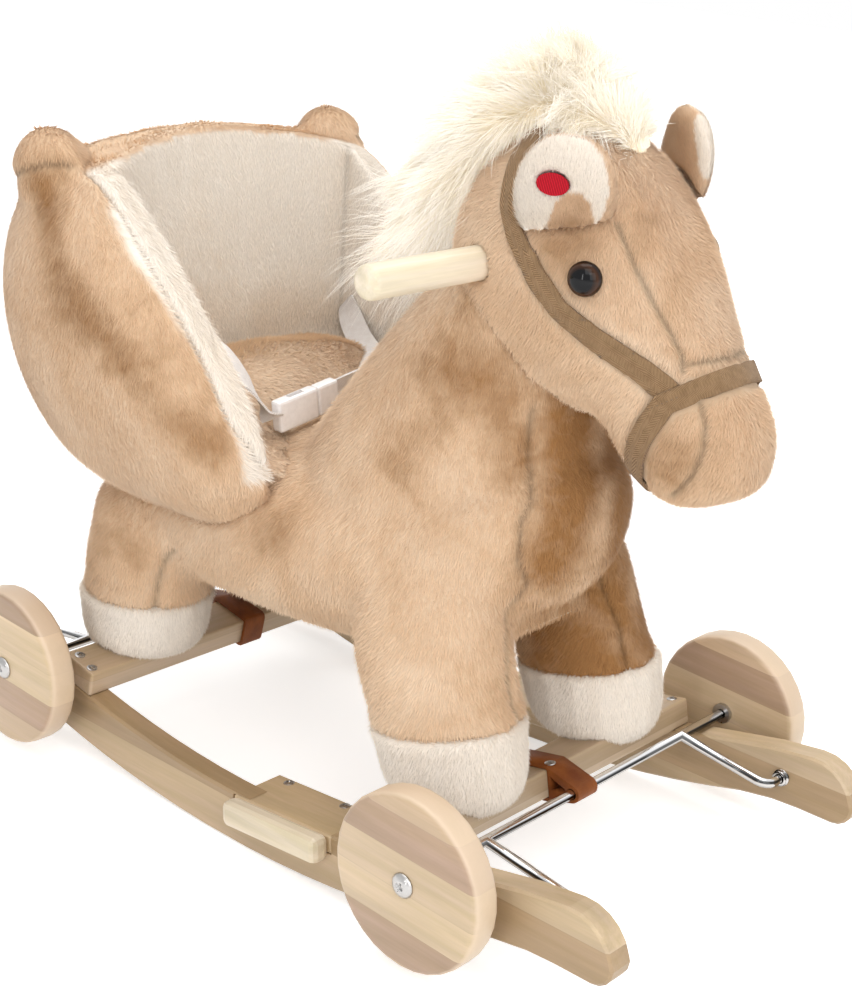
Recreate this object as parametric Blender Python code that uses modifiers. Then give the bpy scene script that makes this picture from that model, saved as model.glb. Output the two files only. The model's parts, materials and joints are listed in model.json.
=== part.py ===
# Ride-on plush horse on wooden rockers, with two wheel frames that swing under the rockers
# Metres. +X runs towards the horse's head, +Y to its left side and +Z up
# The origin is on the floor, under the middle of the rockers
import math

import bmesh
import bpy
from mathutils import Matrix, Vector

# Driving dimensions of the wooden base
gap = 0.0003
track_half = 0.1353            # outer face of a rocker, from the middle plane
board_thickness = 0.018
rocker_height = 0.035          # at the middle of a rocker
rocker_radius = 0.825          # the arc that meets the floor
rocker_top_radius = 0.720
rocker_flat = 0.020            # half the flat on which the horse stands still
rocker_facet = 0.026
rocker_tip = 0.309
beam_x = 0.1527
beam_z = 0.0603
beam_depth = 0.031
beam_height = 0.0184
beam_lean = math.radians(11.8)
plate_x = (0.008, 0.096)
plate_width = 0.040
plate_thickness = 0.012
plate_slope = math.radians(4.6)
block_length = 0.084
block_height = 0.017
block_thickness = 0.0135

# Driving dimensions of the wheels and their frames
wheel_radius = 0.0545
wheel_width = 0.020
wheel_face = 0.170             # outer face of a wheel, from the middle plane
axle_x = 0.187
axle_z = 0.064
rod_radius = 0.00325
pivot_x = 0.2564
pivot_z = 0.0542
arm_y = 0.0994
arm_bend = 0.008
running_gap = 0.00035

# Driving dimensions of the horse and its seat
leg_y = 0.070
post_size = 0.022
core_board_z = 0.160
core_board_thickness = 0.012
handle_x = 0.118
handle_z = 0.390
handle_radius = 0.010
handle_length = 0.300
seat_inner_half = 0.100
seat_lining_half = 0.119
strap_width = 0.0125           # bridle webbing
strap_lift = 0.0026            # outside of the bridle webbing above the plush
belt_width = 0.018
belt_thickness = 0.0016

rocker_face = track_half - board_thickness
parts = None
cutters = None


# Scene, collections and materials
def start():
    global parts, cutters
    for thing in list(bpy.data.objects):
        bpy.data.objects.remove(thing)
    parts = bpy.data.collections.new("ride_on_horse")
    cutters = bpy.data.collections.new("cutters")
    for group in (parts, cutters):
        bpy.context.scene.collection.children.link(group)


def material(name, colour, roughness, metallic=0.0):
    made = bpy.data.materials.get(name)
    if made:
        return made
    made = bpy.data.materials.new(name)
    made.use_nodes = True
    shader = made.node_tree.nodes["Principled BSDF"]
    shader.inputs["Base Color"].default_value = (*colour, 1)
    shader.inputs["Roughness"].default_value = roughness
    shader.inputs["Metallic"].default_value = metallic
    return made


finishes = {
    "wood": ((0.72, 0.53, 0.33), 0.5),
    "pale_wood": ((0.85, 0.72, 0.50), 0.45),
    "plywood": ((0.62, 0.45, 0.28), 0.7),
    "steel": ((0.62, 0.62, 0.63), 0.25, 1.0),
    "chrome": ((0.80, 0.80, 0.82), 0.10, 1.0),
    "leather": ((0.22, 0.07, 0.03), 0.6),
    "tan_plush": ((0.62, 0.42, 0.25), 0.95),
    "white_plush": ((0.88, 0.82, 0.74), 0.95),
    "hair": ((0.90, 0.85, 0.72), 0.9),
    "bridle": ((0.32, 0.23, 0.14), 0.8),
    "webbing": ((0.90, 0.88, 0.86), 0.75),
    "white_plastic": ((0.90, 0.88, 0.87), 0.35),
    "red_print": ((0.65, 0.02, 0.03), 0.6),
    "dark_eye": ((0.02, 0.01, 0.01), 0.05),
}


# Objects from meshes and curves
def place(name, data, finish, location=(0, 0, 0), rotation=(0, 0, 0)):
    made = bpy.data.objects.new(name, data)
    made.location = location
    made.rotation_euler = rotation
    if finish:
        parts.objects.link(made)
        data.materials.append(material(finish, *finishes[finish]))
    else:
        cutters.objects.link(made)
        made.hide_render = True
        made.display_type = "WIRE"
    return made


def finish_mesh(name, bm, finish, location=(0, 0, 0), rotation=(0, 0, 0), smooth=True):
    bmesh.ops.recalc_face_normals(bm, faces=bm.faces)
    data = bpy.data.meshes.new(name)
    bm.to_mesh(data)
    bm.free()
    if smooth:
        data.shade_smooth()
        data.set_sharp_from_angle(angle=math.radians(40))
    return place(name, data, finish, location, rotation)


def box(name, size, finish, location=(0, 0, 0), rotation=(0, 0, 0), bevel=0.0, segments=2):
    bm = bmesh.new()
    bmesh.ops.create_cube(bm, size=1)
    bmesh.ops.scale(bm, vec=size, verts=bm.verts)
    if bevel:
        bmesh.ops.bevel(bm, geom=bm.edges, offset=bevel, segments=segments, affect="EDGES", profile=0.5)
    return finish_mesh(name, bm, finish, location, rotation, smooth=bool(bevel))


def rod(name, radius, length, finish, location=(0, 0, 0), rotation=(0, 0, 0), bevel=0.0, sides=20):
    bm = bmesh.new()
    bmesh.ops.create_cone(
        bm, cap_ends=True, segments=sides, radius1=radius, radius2=radius, depth=length
    )
    if bevel:
        rims = [edge for edge in bm.edges if edge.verts[0].co.z * edge.verts[1].co.z > 0]
        bmesh.ops.bevel(bm, geom=rims, offset=bevel, segments=2, affect="EDGES", profile=0.5)
    return finish_mesh(name, bm, finish, location, rotation)


def ball(name, radii, finish, location=(0, 0, 0), rotation=(0, 0, 0), across=16, rings=10):
    bm = bmesh.new()
    bmesh.ops.create_uvsphere(bm, u_segments=across, v_segments=rings, radius=1)
    bmesh.ops.scale(bm, vec=radii, verts=bm.verts)
    return finish_mesh(name, bm, finish, location, rotation)


def turned(name, profile, steps, finish, location=(0, 0, 0), rotation=(0, 0, 0)):
    """A closed or axis-to-axis profile of (radius, height), outer side top to bottom, turned about Z."""
    bm = bmesh.new()
    corners = [bm.verts.new((radius, 0, height)) for radius, height in profile]
    for first, second in zip(corners, corners[1:]):
        bm.edges.new((first, second))
    if profile[0][0] > 0:
        bm.edges.new((corners[-1], corners[0]))
    data = bpy.data.meshes.new(name)
    bm.to_mesh(data)
    bm.free()
    made = place(name, data, finish, location, rotation)
    screw = made.modifiers.new("turn", "SCREW")
    screw.steps = steps
    screw.render_steps = steps
    screw.use_merge_vertices = True
    screw.merge_threshold = 0.00002
    screw.use_smooth_shade = True
    return made


def arc(centre, radius, start_deg, end_deg, count):
    angles = [math.radians(start_deg + (end_deg - start_deg) * i / count) for i in range(count + 1)]
    return [(centre[0] + radius * math.cos(a), centre[1] + radius * math.sin(a)) for a in angles]


def board(name, outlines, thickness, finish, location=(0, 0, 0), rotation=(0, 0, 0), rounding=0.0):
    """A board cut to closed outlines in its own X and Y, with its thickness along its Z."""
    curve = bpy.data.curves.new(name, "CURVE")
    curve.dimensions = "2D"
    curve.fill_mode = "BOTH"
    curve.extrude = thickness / 2
    for outline in outlines:
        spline = curve.splines.new("POLY")
        spline.points.add(len(outline) - 1)
        for point, (x, y) in zip(spline.points, outline):
            point.co = (x, y, 0, 1)
        spline.use_cyclic_u = True
    return mesh_from_curve(name, curve, finish, location, rotation, rounding)


def tube(name, route, radius, finish, location=(0, 0, 0), detail=2):
    curve = bpy.data.curves.new(name, "CURVE")
    curve.dimensions = "3D"
    curve.bevel_depth = radius
    curve.bevel_resolution = detail
    curve.use_fill_caps = True
    spline = curve.splines.new("POLY")
    spline.points.add(len(route) - 1)
    for point, place_on_route in zip(spline.points, route):
        point.co = (*place_on_route, 1)
    return mesh_from_curve(name, curve, finish, location, (0, 0, 0), 0)


def mesh_from_curve(name, curve, finish, location, rotation, rounding):
    holder = bpy.data.objects.new(name + "_curve", curve)
    bpy.context.scene.collection.objects.link(holder)
    depsgraph = bpy.context.evaluated_depsgraph_get()
    data = bpy.data.meshes.new_from_object(holder.evaluated_get(depsgraph))
    bpy.data.objects.remove(holder)
    bpy.data.curves.remove(curve)
    bm = bmesh.new()
    bm.from_mesh(data)
    bpy.data.meshes.remove(data)
    bmesh.ops.remove_doubles(bm, verts=bm.verts, dist=0.00001)
    if rounding:
        bmesh.ops.dissolve_limit(bm, angle_limit=0.001, verts=bm.verts, edges=bm.edges)
        rims = [edge for edge in bm.edges if abs(edge.verts[0].co.z - edge.verts[1].co.z) < 1e-6]
        bmesh.ops.bevel(bm, geom=rims, offset=rounding, segments=1, affect="EDGES", profile=0.5)
        bmesh.ops.triangulate(bm, faces=[face for face in bm.faces if len(face.verts) > 4])
    return finish_mesh(name, bm, finish, location, rotation)


# Soft forms, from a coarse cage of rings with Subdivision Surface
def ring_points(centre, across, up, sides, square):
    points = []
    for i in range(sides):
        angle = 2 * math.pi * i / sides
        c, s = math.cos(angle), math.sin(angle)
        u = math.copysign(abs(c) ** (2 / square), c)
        v = math.copysign(abs(s) ** (2 / square), s)
        points.append(centre + across * u + up * v)
    return points


def soft(name, rings, finish, sides=10, square=2.0, grow=0.0, levels=1, origin=(0, 0, 0), shape=None):
    """Rings of (centre, across, up), where a ring with no size is a pole. Sizes are of the finished form."""
    shrink = 0.75 + 0.25 * math.cos(2 * math.pi / sides)
    origin = Vector(origin)
    first, last = Vector(rings[0][0]), Vector(rings[-1][0])
    bm = bmesh.new()
    loops = []
    for centre, across, up in rings:
        centre, across, up = Vector(centre), Vector(across), Vector(up)
        if across.length < 1e-6:
            outward = (centre - (Vector(rings[1][0]) if centre == first else Vector(rings[-2][0])))
            centre = centre + outward.normalized() * grow
            loops.append([bm.verts.new(centre - origin)])
            continue
        across = across.normalized() * (across.length + grow) / shrink
        up = up.normalized() * (up.length + grow) / shrink
        loops.append([bm.verts.new(p - origin) for p in ring_points(centre, across, up, sides, square)])
    for low, high in zip(loops, loops[1:]):
        for i in range(sides):
            j = (i + 1) % sides
            corners = [low[i % len(low)], low[j % len(low)], high[j % len(high)], high[i % len(high)]]
            bm.faces.new(list(dict.fromkeys(corners)))
    if shape:
        for corner in bm.verts:
            corner.co = shape(corner.co + origin) - origin
    made = finish_mesh(name, bm, finish, origin)
    made.data.shade_smooth()
    subdivision = made.modifiers.new("soften", "SUBSURF")
    subdivision.levels = levels
    subdivision.render_levels = levels
    return made


def combine(target, other, operation):
    step = target.modifiers.new(operation.lower() + "_" + other.name, "BOOLEAN")
    step.operation = operation
    step.solver = "EXACT"
    step.object = other


def cut(target, *others):
    for other in others:
        combine(target, other, "DIFFERENCE")


# Wooden base
def rocker_outline():
    flat_drop = rocker_radius * (1 - math.cos(rocker_flat / rocker_radius))
    under = []
    for i in range(9):
        angle = (rocker_flat + rocker_facet * i) / rocker_radius
        under.append((rocker_radius * math.sin(angle), rocker_radius * (1 - math.cos(angle)) - flat_drop))
    foot = [(0.250, 0.0352), (0.270, 0.0362)]
    toe = arc((rocker_tip - 0.014, 0.0502), 0.014, -90, 0, 4)
    nose = arc((rocker_tip - 0.030, 0.0460), 0.030, 14, 96, 5)
    over_end = 0.187
    over = [(0.246, 0.0719)]
    for i in range(9):
        x = over_end * (8 - i) / 8
        over.append((x, rocker_height + x * x / (2 * rocker_top_radius)))
    right = under + foot + toe + nose + over
    left = [(-x, z) for x, z in reversed(right) if x > 0]
    return right + left


def make_rocker(side, y, beam_rooms):
    outline = rocker_outline()
    rocker = board(
        "rocker_" + side, [outline], board_thickness, "wood", (0, y, 0), (math.pi / 2, 0, 0), rounding=0.0016
    )
    for x in (pivot_x, -pivot_x):
        hole = rod(
            f"pivot_hole_{side}_{'front' if x > 0 else 'rear'}", rod_radius + running_gap, 0.024, None,
            (x, math.copysign(rocker_face, y), pivot_z), (math.pi / 2, 0, 0), sides=16,
        )
        cut(rocker, hole)
    cut(rocker, footrest_box("notch_" + side, y, gap, None), *beam_rooms.values())


def footrest_middle():
    x = sum(plate_x) / 2
    return x, rocker_height + x * x / (2 * rocker_top_radius) + 0.0006


def footrest_box(name, y, grow, finish):
    """The plate let into a rocker's top, flush with its outer face and reaching inwards past it."""
    side = math.copysign(1, y)
    x, top = footrest_middle()
    length = plate_x[1] - plate_x[0]
    middle_y = side * (track_half - plate_width / 2)
    width = plate_width + (0.004 if grow else 0)
    return box(
        name, (length + 2 * grow, width, plate_thickness + 2 * grow), finish,
        (x, middle_y, top - plate_thickness / 2), (0, -plate_slope, 0),
        bevel=0.0 if grow else 0.0012, segments=1,
    )


def make_footrest(side, y):
    footrest_box("footrest_plate_" + side, y, 0.0, "wood")
    x, top = footrest_middle()
    outside = math.copysign(track_half + gap + block_thickness / 2, y)
    block = box(
        "footrest_block_" + side, (block_length, block_thickness, block_height), "pale_wood",
        (x + 0.001, outside, top - block_height / 2 + 0.0015), (0, -plate_slope, 0), bevel=0.0042, segments=2,
    )
    return block


def beam_spot(end):
    """Middle and lean of a cross beam, which lies along the slope of the rockers' tops."""
    return (end * beam_x, 0, beam_z), (0, -end * beam_lean, 0)


def make_beam(name, end):
    location, rotation = beam_spot(end)
    size = (beam_depth, 2 * track_half, beam_height)
    box(name, size, "wood", location, rotation, bevel=0.0016, segments=2)
    grown = tuple(length + 2 * gap for length in size)
    return box(name + "_room", grown, None, location, rotation)


# Wheels and the frames that carry them
def arm_route(end, side):
    x0, x1 = end * axle_x, end * pivot_x
    run = Vector((x1 - x0, 0, pivot_z - axle_z))
    out = Vector((0, side, 0))
    corner = Vector((x1, side * arm_y, pivot_z))
    along = run.normalized()
    middle = corner - along * arm_bend + out * arm_bend
    points = [(x0, side * arm_y, axle_z)]
    for i in range(5):
        angle = math.pi / 2 * i / 4
        points.append(tuple(middle - out * arm_bend * math.cos(angle) + along * arm_bend * math.sin(angle)))
    points.append((x1, side * (rocker_face + 0.009), pivot_z))
    return points


def make_frame(name, end):
    axle = rod(
        name, rod_radius, 2 * wheel_face - 0.002, "chrome", (end * axle_x, 0, axle_z), (math.pi / 2, 0, 0),
        bevel=0.0005, sides=16,
    )
    for side in (1, -1):
        arm = tube(f"{name}_arm_{'left' if side > 0 else 'right'}", arm_route(end, side), rod_radius, None)
        combine(axle, arm, "UNION")
        bore = rod(
            f"{name}_screw_hole_{'left' if side > 0 else 'right'}", 0.0020, 0.022, None,
            (end * axle_x, side * wheel_face, axle_z), (math.pi / 2, 0, 0), sides=12,
        )
        cut(axle, bore)
    return axle


def make_wheel(end_name, end, side_name, side):
    half = wheel_width / 2
    bore = rod_radius + running_gap
    edge = 0.0042
    rim = arc((wheel_radius - edge, half - edge), edge, 90, 0, 3)
    profile = [(bore, half)] + rim + [(r, -h) for r, h in reversed(rim)] + [(bore, -half)]
    middle = side * (wheel_face - half)
    name = f"{end_name}_{side_name}"
    turned(
        f"wheel_{name}", profile, 32, "wood", (end * axle_x, middle, axle_z), (-side * math.pi / 2, 0, 0)
    )
    washer_half = 0.0014
    washer = [
        (0.0070, washer_half), (0.0070, -washer_half), (bore, -washer_half), (bore, washer_half)
    ]
    inner_face = wheel_face - wheel_width - gap
    turned(
        f"wheel_washer_{name}", washer, 16, "steel",
        (end * axle_x, side * (inner_face - washer_half), axle_z), (-side * math.pi / 2, 0, 0),
    )
    dome = [(0.0, 0.0033), (0.0036, 0.0030), (0.0064, 0.0018), (0.0077, 0.0004), (0.0077, 0.0)]
    shank = [(0.0017, 0.0), (0.0017, -0.0095), (0.0, -0.0100)]
    screw = turned(
        f"hub_screw_{name}", dome + shank, 18, "steel",
        (end * axle_x, side * (wheel_face + gap), axle_z), (-side * math.pi / 2, 0, 0),
    )
    slots = box(f"cross_recess_{name}", (0.0058, 0.0030, 0.0013), None)
    other = box(f"cross_recess_arm_{name}", (0.0013, 0.0030, 0.0058), None)
    combine(slots, other, "UNION")
    for slot in (slots, other):
        slot.location = (end * axle_x, side * (wheel_face + gap + 0.0034), axle_z)
        slot.rotation_euler = (0, math.radians(20), 0)
    cut(screw, slots)


def make_collar(end_name, end, side_name, side):
    length = 0.0034
    inner = rod_radius + running_gap
    profile = [
        (0.0052, length / 2), (0.0046, 0.0002), (0.0046, -0.0004), (0.0058, -0.0006),
        (0.0058, -length / 2), (inner, -length / 2), (inner, length / 2),
    ]
    turned(
        f"pivot_collar_{end_name}_{side_name}", profile, 14, "chrome",
        (end * pivot_x, side * (rocker_face - gap - length / 2), pivot_z), (side * math.pi / 2, 0, 0),
    )


# Leather retaining loops round a beam and the rod that lies against it
def make_retainer(name, end, y):
    thickness = 0.0022
    clear = 0.0005
    half_d, half_h = beam_depth / 2 + clear, beam_height / 2 + clear
    corner = 0.0012
    lean = Matrix.Rotation(end * beam_lean, 2)
    middle = Vector((end * beam_x, beam_z))

    def on_beam(u, v):
        point = middle + lean @ Vector((end * u, v))
        return (point.x, point.y)

    def beam_loop(extra):
        points = []
        for su, sv, start_deg in ((1, -1, -90), (1, 1, 0), (-1, 1, 90), (-1, -1, 180)):
            spot = (su * (half_d - corner), sv * (half_h - corner))
            points += arc(spot, corner + extra, start_deg, start_deg + 90, 2)
        return [on_beam(u, v) for u, v in points]

    rod_spot = Vector((end * axle_x, axle_z))
    rod_hole = arc(rod_spot, rod_radius + clear, 0, 324, 9)
    around = arc(rod_spot, rod_radius + clear + thickness, 0, 345, 23)
    outer = hull_2d(beam_loop(thickness) + around)
    room_outline = [on_beam(u, v) for u, v in (
        (half_d + thickness, half_h * 0.55), (half_d + thickness, -half_h * 0.35),
    )]
    nose = rod_spot - Vector((end * (rod_radius + clear + 0.0012), 0))
    window = room_outline + [(nose.x, nose.y - 0.0012), (nose.x, nose.y + 0.0012)]
    return board(
        name, [outer, beam_loop(0.0), rod_hole, window], 0.019, "leather", (0, y, 0), (math.pi / 2, 0, 0)
    )


def hull_2d(points):
    """Outer loop of a set of flat points, anticlockwise."""
    ordered = sorted(set((round(x, 7), round(y, 7)) for x, y in points))

    def half(run):
        kept = []
        for p in run:
            while len(kept) > 1:
                (ax, ay), (bx, by) = kept[-2], kept[-1]
                if (bx - ax) * (p[1] - ay) - (by - ay) * (p[0] - ax) > 0:
                    break
                kept.pop()
            kept.append(p)
        return kept[:-1]

    return half(ordered) + half(reversed(ordered))


# Timber core inside the plush
def make_core():
    size = Vector((0.287, 0.163, core_board_thickness))
    middle = (0, 0, core_board_z + core_board_thickness / 2)
    box("core_board", size, "plywood", middle, bevel=0.001, segments=1)
    room = box("core_board_room", size + Vector((2 * gap, 2 * gap, 2 * gap)), None, middle)
    for end_name, end in (("front", 1), ("rear", -1)):
        lean = -end * beam_lean
        up = Vector((-end * math.sin(beam_lean), 0, math.cos(beam_lean)))
        foot = Vector((end * beam_x, 0, beam_z)) + up * (beam_height / 2 + gap)
        corner_drop = post_size / 2 * math.tan(beam_lean)
        rise = (core_board_z - gap - foot.z) / math.cos(beam_lean) - corner_drop
        for side_name, side in (("right", -1), ("left", 1)):
            middle = foot + up * rise / 2 + Vector((0, side * leg_y, 0))
            name = f"leg_post_{end_name}_{side_name}"
            box(name, (post_size, post_size, rise), "pale_wood", middle, (0, lean, 0))
            start_low = foot - up * 0.004 + Vector((0, side * leg_y, 0))
            reach = rise + 0.008
            post_room = box(
                name + "_room", (post_size + 2 * gap, post_size + 2 * gap, reach), None,
                start_low + up * reach / 2, (0, lean, 0),
            )
            combine(room, post_room, "UNION")
    return room


# Plush body: barrel and neck
def barrel_rings():
    # distance along X, height of the middle, half width, half height
    stations = [
        (-0.196, 0.170, 0, 0), (-0.188, 0.170, 0.055, 0.036), (-0.160, 0.172, 0.092, 0.058),
        (-0.100, 0.176, 0.104, 0.067), (0.020, 0.184, 0.105, 0.072), (0.085, 0.197, 0.098, 0.075),
        (0.128, 0.218, 0.086, 0.066), (0.158, 0.232, 0.062, 0.055), (0.176, 0.237, 0.036, 0.037),
        (0.183, 0.239, 0, 0),
    ]
    return [((x, 0, z), (0, half_y, 0), (0, 0, half_z)) for x, z, half_y, half_z in stations]


def neck_rings():
    # height, middle along X, half length, half width
    stations = [
        (0.175, 0.050, 0, 0), (0.195, 0.053, 0.118, 0.086), (0.219, 0.055, 0.125, 0.091),
        (0.246, 0.062, 0.111, 0.087), (0.276, 0.073, 0.100, 0.080), (0.318, 0.090, 0.085, 0.071),
        (0.358, 0.106, 0.064, 0.064), (0.382, 0.114, 0.048, 0.055), (0.402, 0.116, 0, 0),
    ]
    return [((x, 0, z), (half_x, 0, 0), (0, half_y, 0)) for z, x, half_x, half_y in stations]


def make_body():
    body = soft("body_plush", barrel_rings(), "tan_plush", sides=8, square=2.2)
    neck = soft("neck_form", neck_rings(), None, sides=8)
    combine(body, neck, "UNION")
    room = soft("body_room", barrel_rings(), None, sides=8, square=2.2, grow=0.0009)
    neck_room = soft("neck_room", neck_rings(), None, sides=8, grow=0.0009)
    combine(room, neck_room, "UNION")
    return body, room


# Head
def head_rings():
    # top of a section, bottom of it, and half its width
    stations = [
        ((0.064, 0.392), (0.064, 0.392), 0),
        ((0.078, 0.436), (0.072, 0.354), 0.038),
        ((0.109, 0.468), (0.095, 0.322), 0.061),
        ((0.147, 0.479), (0.132, 0.308), 0.070),
        ((0.185, 0.461), (0.166, 0.306), 0.069),
        ((0.215, 0.427), (0.184, 0.304), 0.062),
        ((0.235, 0.391), (0.194, 0.298), 0.053),
        ((0.258, 0.356), (0.205, 0.272), 0.044),
        ((0.284, 0.326), (0.236, 0.260), 0.036),
        ((0.284, 0.298), (0.267, 0.276), 0.019),
        ((0.282, 0.284), (0.282, 0.284), 0),
    ]
    rings = []
    for top, bottom, half_width in stations:
        centre = ((top[0] + bottom[0]) / 2, 0, (top[1] + bottom[1]) / 2)
        up = ((top[0] - bottom[0]) / 2, 0, (top[1] - bottom[1]) / 2)
        rings.append((centre, (0, half_width, 0), up))
    return rings


def head_form(name, grow, finish=None):
    return soft(name, head_rings(), finish, sides=8, square=2.15, grow=grow)


def make_handle():
    rod(
        "handle", handle_radius, handle_length, "pale_wood", (handle_x, 0, handle_z), (math.pi / 2, 0, 0),
        bevel=0.003, sides=18,
    )
    return rod(
        "handle_room", handle_radius + gap, handle_length + 0.02, None, (handle_x, 0, handle_z),
        (math.pi / 2, 0, 0), sides=18,
    )


def band_outline(path, width):
    """Outline of a band of one width along a path in the side view."""
    left, right = [], []
    for i, point in enumerate(path):
        before = Vector(path[max(i - 1, 0)])
        after = Vector(path[min(i + 1, len(path) - 1)])
        along = (after - before).normalized()
        side = Vector((-along.y, along.x)) * width / 2
        left.append(tuple(Vector(point) + side))
        right.append(tuple(Vector(point) - side))
    return left + right[::-1]


headstall_path = [
    (0.246, 0.337), (0.225, 0.352), (0.201, 0.365), (0.181, 0.377), (0.165, 0.393), (0.151, 0.413),
    (0.140, 0.438), (0.134, 0.465), (0.130, 0.515),
]
noseband_path = [
    (0.282, 0.364), (0.262, 0.349), (0.241, 0.334), (0.227, 0.308), (0.214, 0.278), (0.203, 0.245),
]


def make_bridle(head_room):
    outer = "strap_surface"
    straps = []
    for name, path in (("noseband", noseband_path), ("headstall", headstall_path)):
        strap = head_form(name, strap_lift, "bridle")
        strap.modifiers["soften"].name = outer
        outline = band_outline(path, strap_width)
        slab = board(name + "_slab", [outline], 0.3, None, (0, 0, 0), (math.pi / 2, 0, 0))
        combine(strap, slab, "INTERSECT")
        cut(strap, head_room)
        straps.append(strap)
    nose_room = board(
        "noseband_room", [band_outline(noseband_path, strap_width + 2 * gap)], 0.3, None, (0, 0, 0),
        (math.pi / 2, 0, 0),
    )
    cut(straps[1], nose_room)
    return straps


# Ears, eyes, hair
def ear_frame(side):
    # the left ear stands a little higher than the right one
    base = Vector((0.1715, side * 0.0575, 0.415)) + (Vector((0, -0.002, 0.009)) if side > 0 else Vector())
    across = Vector((0.87, -side * 0.46, -0.10)).normalized()
    out = Vector((0.46, side * 0.87, 0.12))
    up = out.cross(across) * side
    up.normalize()
    if up.z < 0:
        up = -up
    out = across.cross(up) * -side
    out.normalize()
    return base, across, up, out


def ear_rings(side):
    base, across, up, out = ear_frame(side)
    # height up the ear, half width, half thickness, lean outwards
    stations = [
        (-0.012, 0, 0, -0.004), (-0.008, 0.019, 0.0070, -0.004), (0.006, 0.028, 0.0090, -0.001),
        (0.022, 0.031, 0.0090, 0.003), (0.038, 0.0275, 0.0085, 0.005), (0.050, 0.018, 0.0075, 0.005),
        (0.0555, 0, 0, 0.005),
    ]
    return [(base + up * h + out * lean, across * w, out * t) for h, w, t, lean in stations]


def make_ears(head_room, strap_room):
    for side_name, side in (("right", -1), ("left", 1)):
        ear = soft(f"ear_{side_name}", ear_rings(side), "tan_plush", sides=6, square=2.3)
        cut(ear, head_room, strap_room)
        if side < 0:
            base, across, up, out = ear_frame(side)
            turn = Matrix((across, up, out)).transposed()
            if turn.determinant() < 0:
                turn = Matrix((-across, up, out)).transposed()
            spot = base + up * 0.027 + out * 0.0105 - across * 0.0065
            angles = turn.to_euler()
            pocket = rod("button_pocket", 1, 0.010, None, spot, angles, sides=18)
            pocket.scale = (0.0094, 0.0064, 1)
            cut(ear, pocket)
            button = rod("sound_button", 1, 0.0040, "red_print", spot + out * 0.0005, angles, sides=18)
            button.scale = (0.0090, 0.0060, 1)


def make_eyes(head_room):
    # the left eye sits a little further back than the right one
    for side_name, side, x in (("right", -1, 0.1955), ("left", 1, 0.1890)):
        eye = ball(
            f"eye_{side_name}", (0.0098, 0.0070, 0.0098), "dark_eye", (x, side * 0.0620, 0.3965),
            (0, 0, -side * 0.35), across=14, rings=8,
        )
        cut(eye, head_room)


def make_hair(others):
    # mane, from the forelock over the poll and down the crest
    crest = [
        ((0.198, 0.440), 0, 0), ((0.192, 0.450), 0.012, 0.009), ((0.170, 0.472), 0.027, 0.022),
        ((0.132, 0.486), 0.033, 0.027), ((0.095, 0.476), 0.036, 0.028), ((0.062, 0.445), 0.036, 0.026),
        ((0.045, 0.405), 0.030, 0.020), ((0.038, 0.375), 0.018, 0.012), ((0.036, 0.365), 0, 0),
    ]
    rings = []
    for i, ((x, z), half_width, half_height) in enumerate(crest):
        before, after = crest[max(i - 1, 0)][0], crest[min(i + 1, len(crest) - 1)][0]
        along = (Vector(after) - Vector(before)).normalized()
        rings.append(((x, 0, z), (0, half_width, 0), (-along.y * half_height, 0, along.x * half_height)))
    mane = soft("mane", rings, "hair", sides=6)
    cut(mane, *others)
    hang = [
        ((-0.2335, 0.300), 0, 0), ((-0.2360, 0.292), 0.012, 0.005), ((-0.2430, 0.260), 0.020, 0.0085),
        ((-0.2450, 0.215), 0.022, 0.0095), ((-0.2415, 0.155), 0.015, 0.0068), ((-0.2360, 0.128), 0, 0),
    ]
    rings = [((x, 0, z), (0, w, 0), (d, 0, 0)) for (x, z), w, d in hang]
    tail = soft("tail", rings, "hair", sides=6)
    cut(tail, seat_form("seat_outside", gap))


# Legs and hooves
def leg_rings(end, side):
    # height, middle along X, half length, middle across, half width
    if end > 0:
        stations = [
            (0.086, 0.130, 0, 0.070, 0), (0.096, 0.1290, 0.046, 0.070, 0.043),
            (0.118, 0.1215, 0.0525, 0.070, 0.0465), (0.146, 0.108, 0.054, 0.067, 0.047),
            (0.175, 0.100, 0.056, 0.062, 0.046), (0.205, 0.097, 0.053, 0.056, 0.042),
            (0.222, 0.096, 0, 0.054, 0),
        ]
    else:
        stations = [
            (0.090, -0.156, 0, 0.070, 0), (0.096, -0.156, 0.040, 0.070, 0.038),
            (0.110, -0.156, 0.0470, 0.070, 0.0460), (0.133, -0.152, 0.050, 0.070, 0.048),
            (0.160, -0.146, 0.051, 0.067, 0.048), (0.180, -0.146, 0.051, 0.065, 0.046),
            (0.192, -0.145, 0.042, 0.062, 0.038), (0.199, -0.144, 0, 0.060, 0),
        ]
    return [((x, side * y, z), (hx, 0, 0), (0, hy, 0)) for z, x, hx, y, hy in stations]


def hoof_rings(end, side):
    if end > 0:
        stations = [
            (0.0615, 0.1370, 0, 0.070, 0), (0.0635, 0.1370, 0.0330, 0.070, 0.0330),
            (0.0700, 0.1355, 0.0445, 0.070, 0.0435), (0.0850, 0.1335, 0.0490, 0.070, 0.0470),
            (0.1060, 0.1285, 0.0520, 0.070, 0.0475), (0.1240, 0.1225, 0.0525, 0.070, 0.0470),
            (0.1380, 0.1190, 0.0460, 0.070, 0.0420), (0.1440, 0.1180, 0, 0.070, 0),
        ]
    else:
        stations = [
            (0.0615, -0.1580, 0, 0.070, 0), (0.0635, -0.1580, 0.0320, 0.070, 0.0320),
            (0.0700, -0.1590, 0.0425, 0.070, 0.0420), (0.0850, -0.1595, 0.0470, 0.070, 0.0460),
            (0.1080, -0.1580, 0.0485, 0.070, 0.0470), (0.1200, -0.1570, 0.0460, 0.070, 0.0450),
            (0.1260, -0.1570, 0, 0.070, 0),
        ]
    return [((x, side * y, z), (hx, 0, 0), (0, hy, 0)) for z, x, hx, y, hy in stations]


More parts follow.
